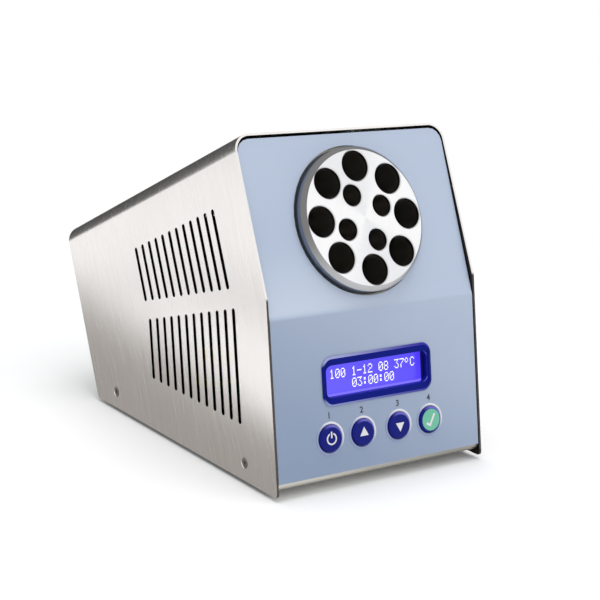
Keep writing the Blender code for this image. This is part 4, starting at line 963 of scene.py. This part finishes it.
def bezel(finish):
    """Moulded frame round the display, sloping up to a crest and down to the glass."""
    width, height = BEZEL_SIZE
    made = begin("bezel", bpy.ops.mesh.primitive_plane_add, size=1.0, location=(0.0, 0.0, BEZEL_SEAT))
    pick_all(made)
    stretch(width, height)
    bpy.ops.mesh.select_mode(type="VERT")
    bpy.ops.mesh.bevel(offset=BEZEL_CORNER, segments=12, affect="VERTICES")
    pick_all(made)
    push(z=BEZEL_EDGE - BEZEL_SEAT)
    inset(BEZEL_SLOPE, BEZEL_CREST - BEZEL_EDGE)
    inset(BEZEL_SIDE_RIM - BEZEL_SLOPE)
    stretch(1.0, BEZEL_OPENING / (height - 2 * BEZEL_SIDE_RIM))
    push(z=BEZEL_DEEP - BEZEL_CREST)
    pick_edges(made, at_height(BEZEL_SEAT))
    bpy.ops.mesh.edge_face_add()
    pick_faces(made, at_height(BEZEL_SEAT))
    inset(BEZEL_LAP)
    push(z=BEZEL_DEEP - BEZEL_SEAT)
    pick_faces(made, at_height(BEZEL_DEEP))
    bpy.ops.mesh.delete(type="ONLY_FACE")
    pick_edges(made, at_height(BEZEL_DEEP))
    bpy.ops.mesh.bridge_edge_loops()
    for level, size, segments in BEZEL_ROUNDS:
        pick_edges(made, at_height(level))
        soften(size, segments)
    pick_all(made)
    bpy.ops.mesh.normals_make_consistent(inside=False)
    place = DISPLAY @ Matrix.Translation((0.0, BEZEL_RISE, 0.0))
    settle(made, place, finish, replaces=("display_bezel",), angle=40)


def figure_line(name, text, top):
    """One line of dotted figures: a grid whose unlit cells are deleted."""
    across, row_pitch = FIGURE_PITCH
    cell = across / FIGURE_COLUMNS
    columns = FIGURE_COLUMNS * len(text)
    width, height = columns * cell, FIGURE_LINES * row_pitch
    made = begin(name, bpy.ops.mesh.primitive_grid_add, x_subdivisions=columns,
                 y_subdivisions=FIGURE_LINES, size=1.0)
    pick_all(made)
    stretch(width, height)
    slide(FIGURE_LEFT + width / 2, top - height / 2, GLASS_LEVEL + DOT_HEIGHT)

    def unlit(middle, normal):
        """Whether a cell is an unlit dot or part of the gap after a figure."""
        column = int((middle.x - FIGURE_LEFT) / cell)
        row = int((top - middle.y) / row_pitch)
        figure, part = divmod(column, FIGURE_COLUMNS)
        gap = FIGURE_COLUMNS - 1
        return part == gap or not FIGURE_ROWS[text[figure]][row] >> (gap - 1 - part) & 1

    pick_faces(made, unlit)
    bpy.ops.mesh.delete(type="FACE")
    pick_all(made)
    bpy.ops.mesh.edge_split(type="EDGE")
    bpy.ops.mesh.inset(thickness=DOT_GAP / 2, use_individual=True)
    bpy.ops.mesh.select_all(action="INVERT")
    bpy.ops.mesh.delete(type="FACE")
    close()
    modifier = made.modifiers.new("thickness", "SOLIDIFY")
    modifier.thickness = DOT_HEIGHT
    modifier.offset = 1.0
    bpy.ops.object.modifier_apply(modifier="thickness")
    return made


def figures(finish):
    """Two lines of figures on the display."""
    lines = [figure_line(name, text, top)
             for (name, text), top in zip(FIGURE_TEXTS.items(), FIGURE_TOPS)]
    for line in lines:
        settle(line, DISPLAY, finish)


def key_cap():
    """A key with a rounded crown, its flange and its stem."""
    flange, low, high = KEY_FLANGE
    stem, tip = KEY_STEM
    cap = rod("key_cap", flange, low, high, 72)
    pick_faces(cap, lambda middle, normal: normal.z > 0.9)
    inset(flange - KEY_RADIUS)
    push(z=KEY_CROWN - high)
    pick_edges(cap, at_height(KEY_CROWN))
    soften(KEY_ROUND, 7)
    pick_faces(cap, lambda middle, normal: normal.z < -0.9)
    inset(flange - stem)
    push(z=tip - low)
    close()
    return cap


def prism_icon(name, sides, radius, turn=0.0):
    """A flat icon with even sides, on the crown of a key."""
    return rod(name, radius, KEY_CROWN, KEY_CROWN + ICON_HEIGHT, sides, turn)


def ring(name, outer, inner, low, high, steps=72):
    """A flat ring."""
    made = rod(name, outer, low, high, steps)
    pick_faces(made, lambda middle, normal: abs(normal.z) > 0.9)
    inset(outer - inner)
    bpy.ops.mesh.delete(type="ONLY_FACE")
    pick_edges(made, lambda point: math.hypot(point.x, point.y) < (outer + inner) / 2)
    bpy.ops.mesh.bridge_edge_loops()
    close()
    return made


def power_icon():
    """An open ring with a bar in its gap."""
    low, high = KEY_CROWN, KEY_CROWN + ICON_HEIGHT
    loop = ring("power_icon", ICON_RADIUS, POWER_HOLE, low, high, 48)
    gap = box("gap_cutter", *POWER_GAP, 20 * ICON_HEIGHT)
    slide(0.0, POWER_GAP_UP, low)
    carve(loop, gap)
    bar = box("power_bar", *POWER_BAR, ICON_HEIGHT)
    slide(0.0, POWER_BAR_UP, (low + high) / 2)
    return join([loop, bar])


def tick_icon():
    """A tick, made by drawing two arms out of a small square."""
    tick = begin("tick_icon", bpy.ops.mesh.primitive_plane_add, size=TICK_WIDTH,
                 location=(0.0, 0.0, KEY_CROWN + ICON_HEIGHT))
    half = TICK_WIDTH / 2
    long_arm, short_arm = TICK_ARMS
    pick_edges(tick, lambda point: point.x > half * 0.9)
    push(x=long_arm)
    pick_edges(tick, lambda point: point.y > half * 0.9 and point.x < half * 1.1)
    push(y=short_arm)
    pick_all(tick)
    bpy.ops.transform.rotate(value=TICK_TURN, orient_axis="Z", center_override=(0.0, 0.0, 0.0))
    slide(*TICK_PLACE, ICON_HEIGHT)
    push(z=-ICON_HEIGHT)
    bpy.ops.mesh.select_all(action="SELECT")
    bpy.ops.mesh.normals_make_consistent(inside=False)
    return tick


def keys(made):
    """Four keys with their icons, collars and numerals."""
    cap = key_cap()
    icons = {"key_power": power_icon(), "key_up": prism_icon("up_icon", 3, ICON_RADIUS),
             "key_down": prism_icon("down_icon", 3, ICON_RADIUS, math.pi), "key_set": tick_icon()}
    collar = ring("collar", *COLLAR[:2], 0.0, COLLAR[2])
    pick_edges(collar, at_height(COLLAR[2]))
    soften(COLLAR_ROUND, 4)
    close()
    for number, (name, x) in enumerate(KEYS.items(), 1):
        place = leaning((x, *KEY_LINE), LOWER_TILT)
        settle(twin_of(cap, f"{name}_cap"), place, key_finish(f"{name}_navy", x).material, name,
               (name,))
        settle(twin_of(collar, f"{name}_collar"), place, collar_finish(f"{name}_collar", x).material)
        lift = Matrix.Identity(4)
        if name == "key_set":
            settle(prism_icon("key_set_face", 72, SET_FACE), place, made["green_face"], name)
            lift = Matrix.Translation((0.0, 0.0, ICON_HEIGHT))
        settle(icons[name], place @ lift, made["icons"], name)
        numeral(f"{name}_numeral", str(number), place @ Matrix.Translation((0.0, NUMERAL_UP, 0.0)),
                made["numerals"])
    for spare in (cap, collar):
        bpy.data.objects.remove(spare, do_unlink=True)


def numeral(name, text, place, finish):
    """A printed number on the panel."""
    close()
    bpy.ops.object.select_all(action="DESELECT")
    bpy.ops.object.text_add()
    made = bpy.context.object
    made.name = name
    made.data.body = text
    made.data.size = NUMERAL_SIZE
    made.data.align_x = "CENTER"
    made.data.extrude = NUMERAL_LIFT / 2
    made.data.offset = NUMERAL_WEIGHT
    made.data.resolution_u = 4
    bpy.ops.object.convert(target="MESH")
    made.data.transform(Matrix.Translation((0.0, 0.0, NUMERAL_LIFT)))
    settle(made, place, finish)


def cover_screws(finish):
    """Countersunk screws with a cross in each head."""
    shank, head, sink, length = COVER_SCREW
    long_arm, arm, deep = RECESS
    screw = rod("cover_screw", shank, -length, -sink, 32)
    pick_faces(screw, lambda middle, normal: normal.z > 0.9)
    push(z=sink - HEAD_EDGE)
    stretch(head / shank, head / shank)
    push(z=HEAD_EDGE)
    soften(HEAD_ROUND)
    for turn in (RECESS_TURN, RECESS_TURN + math.pi / 2):
        bar = box("cross_cutter", long_arm, arm, 2 * deep)
        bpy.ops.transform.rotate(value=turn, orient_axis="Z", center_override=(0.0, 0.0, 0.0))
        pick_faces(bar, lambda middle, normal: normal.z < -0.9)
        stretch(RECESS_TAPER, RECESS_TAPER)
        carve(screw, bar)
    for label, (side, y) in COVER_SCREWS.items():
        place = (Matrix.Translation((side * (COVER_WIDTH / 2 - COVER_SCREW_SUNK), y, COVER_SCREW_UP))
                 @ Matrix.Rotation(side * math.pi / 2, 4, "Y"))
        settle(twin_of(screw, f"cross_screw_{label}"), place, finish,
               replaces=(f"cover_screw_{label}",))
    bpy.data.objects.remove(screw, do_unlink=True)


def rocker_marks(finish):
    """A bar on the pressed half of the power switch and a ring on the other half."""
    face = (Matrix.Translation(ROCKER_PIVOT) @ Matrix.Rotation(math.pi, 4, "Z")
            @ Matrix.Rotation(math.pi / 2 + MAIN_TILT, 4, "X"))
    bar = box("rocker_bar", *ROCKER_BAR, MARK_HEIGHT)
    loop = ring("rocker_ring", *ROCKER_RING, -MARK_HEIGHT / 2, MARK_HEIGHT / 2, 48)
    for mark, (up, out, slope) in ((bar, ROCKER_LOW), (loop, ROCKER_HIGH)):
        place = face @ Matrix.Translation((0.0, up, out)) @ Matrix.Rotation(math.radians(slope), 4, "X")
        settle(mark, place, finish, body="power_rocker")


# Studio

def area_light(name, place, size, power):
    """A soft box that faces the object."""
    light = bpy.data.lights.new(name, "AREA")
    light.shape = "RECTANGLE"
    light.size, light.size_y = size
    light.energy = power
    lamp = bpy.data.objects.new(name, light)
    lamp.location = place
    lamp.rotation_euler = (Vector(LIGHTS_MEET) - Vector(place)).to_track_quat("-Z", "Y").to_euler()
    lamp.visible_glossy = False
    bpy.context.scene.collection.objects.link(lamp)


def floor():
    """A plain pale floor, which fades out between two squared distances from the object."""
    made = begin("floor", bpy.ops.mesh.primitive_plane_add, size=FLOOR_SIZE,
                 location=(0.0, 0.0, FLOOR_LEVEL))
    paint = Finish("floor", roughness=0.9)
    x, y, z = paint.axes()
    grain = paint.noise(paint.vector(x, y, z), scale=3.0)
    paint.put("Base Color", paint.mix(grain, (0.79, 0.79, 0.79, 1.0), (0.81, 0.81, 0.81, 1.0)))
    paint.put("Specular IOR Level", 0.1)
    path = paint.node("ShaderNodeLightPath").outputs
    seen = Amount(paint, path["Is Camera Ray"]) + Amount(paint, path["Is Glossy Ray"])
    paint.put("Emission Color", paint.mix(seen, (0.0, 0.0, 0.0, 1.0), (0.06, 0.06, 0.06, 1.0)))
    paint.put("Emission Strength", 1.0)
    paint.put("Alpha", 1.0 - (x * x + y * y).rise(*FLOOR_FADE))
    made.data.materials.append(paint.material)


def dark_card(name, size, place, turn, shade, warmth=0.0, flare=0.0):
    """A card that only mirrors can see, wider at its far end by the flare."""
    made = begin(name, bpy.ops.mesh.primitive_plane_add, size=1.0)
    pick_all(made)
    stretch(*size)
    pick_points(made, lambda point: point.x < 0 < point.y)
    slide(-flare, 0.0)
    close()
    made.data.transform(Matrix.Translation(place) @ Matrix.Rotation(turn, 4, "X"))
    card = Finish(name, roughness=1.0)
    grain = card.noise(card.place(), scale=2.0)
    card.put("Base Color", card.mix(grain, (0.0, 0.0, 0.0, 1.0), (0.01, 0.01, 0.01, 1.0)))
    card.put("Emission Color", (shade * (1 + warmth), shade, shade * (1 - warmth), 1.0))
    card.put("Emission Strength", 1.0)
    made.data.materials.append(card.material)
    made.visible_camera = False
    made.visible_diffuse = False
    made.visible_shadow = False


def world():
    """White behind the object and in what it mirrors, softer as light."""
    made = bpy.data.worlds.new("studio")
    bpy.context.scene.world = made
    made.use_nodes = True
    nodes = made.node_tree.nodes
    links = made.node_tree.links
    nodes.clear()
    path = nodes.new("ShaderNodeLightPath")
    seen = path.outputs["Is Camera Ray"]
    for ray in ("Is Glossy Ray", "Is Transmission Ray"):
        either = nodes.new("ShaderNodeMath")
        either.operation = "MAXIMUM"
        links.new(seen, either.inputs[0])
        links.new(path.outputs[ray], either.inputs[1])
        seen = either.outputs[0]
    mix = nodes.new("ShaderNodeMixShader")
    links.new(seen, mix.inputs[0])
    for k, (colour, strength) in enumerate((WORLD_AS_LIGHT, WORLD_AS_SEEN), 1):
        glow = nodes.new("ShaderNodeBackground")
        glow.inputs["Color"].default_value = colour
        glow.inputs["Strength"].default_value = strength
        links.new(glow.outputs[0], mix.inputs[k])
    out = nodes.new("ShaderNodeOutputWorld")
    links.new(mix.outputs[0], out.inputs["Surface"])


def camera():
    """The camera, where the photo was taken from."""
    made = bpy.data.cameras.new("camera")
    made.lens = CAMERA_LENS
    made.sensor_width = CAMERA_SENSOR
    eye = bpy.data.objects.new("camera", made)
    eye.location = CAMERA_PLACE
    eye.rotation_euler = [math.radians(turn) for turn in CAMERA_TURN]
    bpy.context.scene.collection.objects.link(eye)
    bpy.context.scene.camera = eye


def main():
    """Dresses the frame, adds the pieces and sets up the studio."""
    bpy.ops.object.select_all(action="DESELECT")
    made = finishes()
    for part in frame["record"]["subparts"]:
        node = frame["nodes"][part["node"]]
        node.data.materials.clear()
        node.data.materials.append(made[part["material_slot"]])
    cover_shell(made["brushed_steel"])
    well_block(made["block_aluminium"])
    bezel(made["bezel_navy"])
    figures(made["figures"])
    keys(made)
    cover_screws(made["screw_steel"])
    rocker_marks(made["marks"])
    floor()
    world()
    camera()
    for name, (place, size, power) in LIGHTS.items():
        area_light(name, place, size, power)
    dark_card("rear_card", *REAR_CARD, 0.07)
    dark_card("left_card", *LEFT_CARD, 0.31, 0.05, flare=0.075)
    dark_card("cloud_card", *CLOUD_CARD, 0.40, 0.03)
    bpy.context.scene.view_settings.view_transform = "Standard"


main()
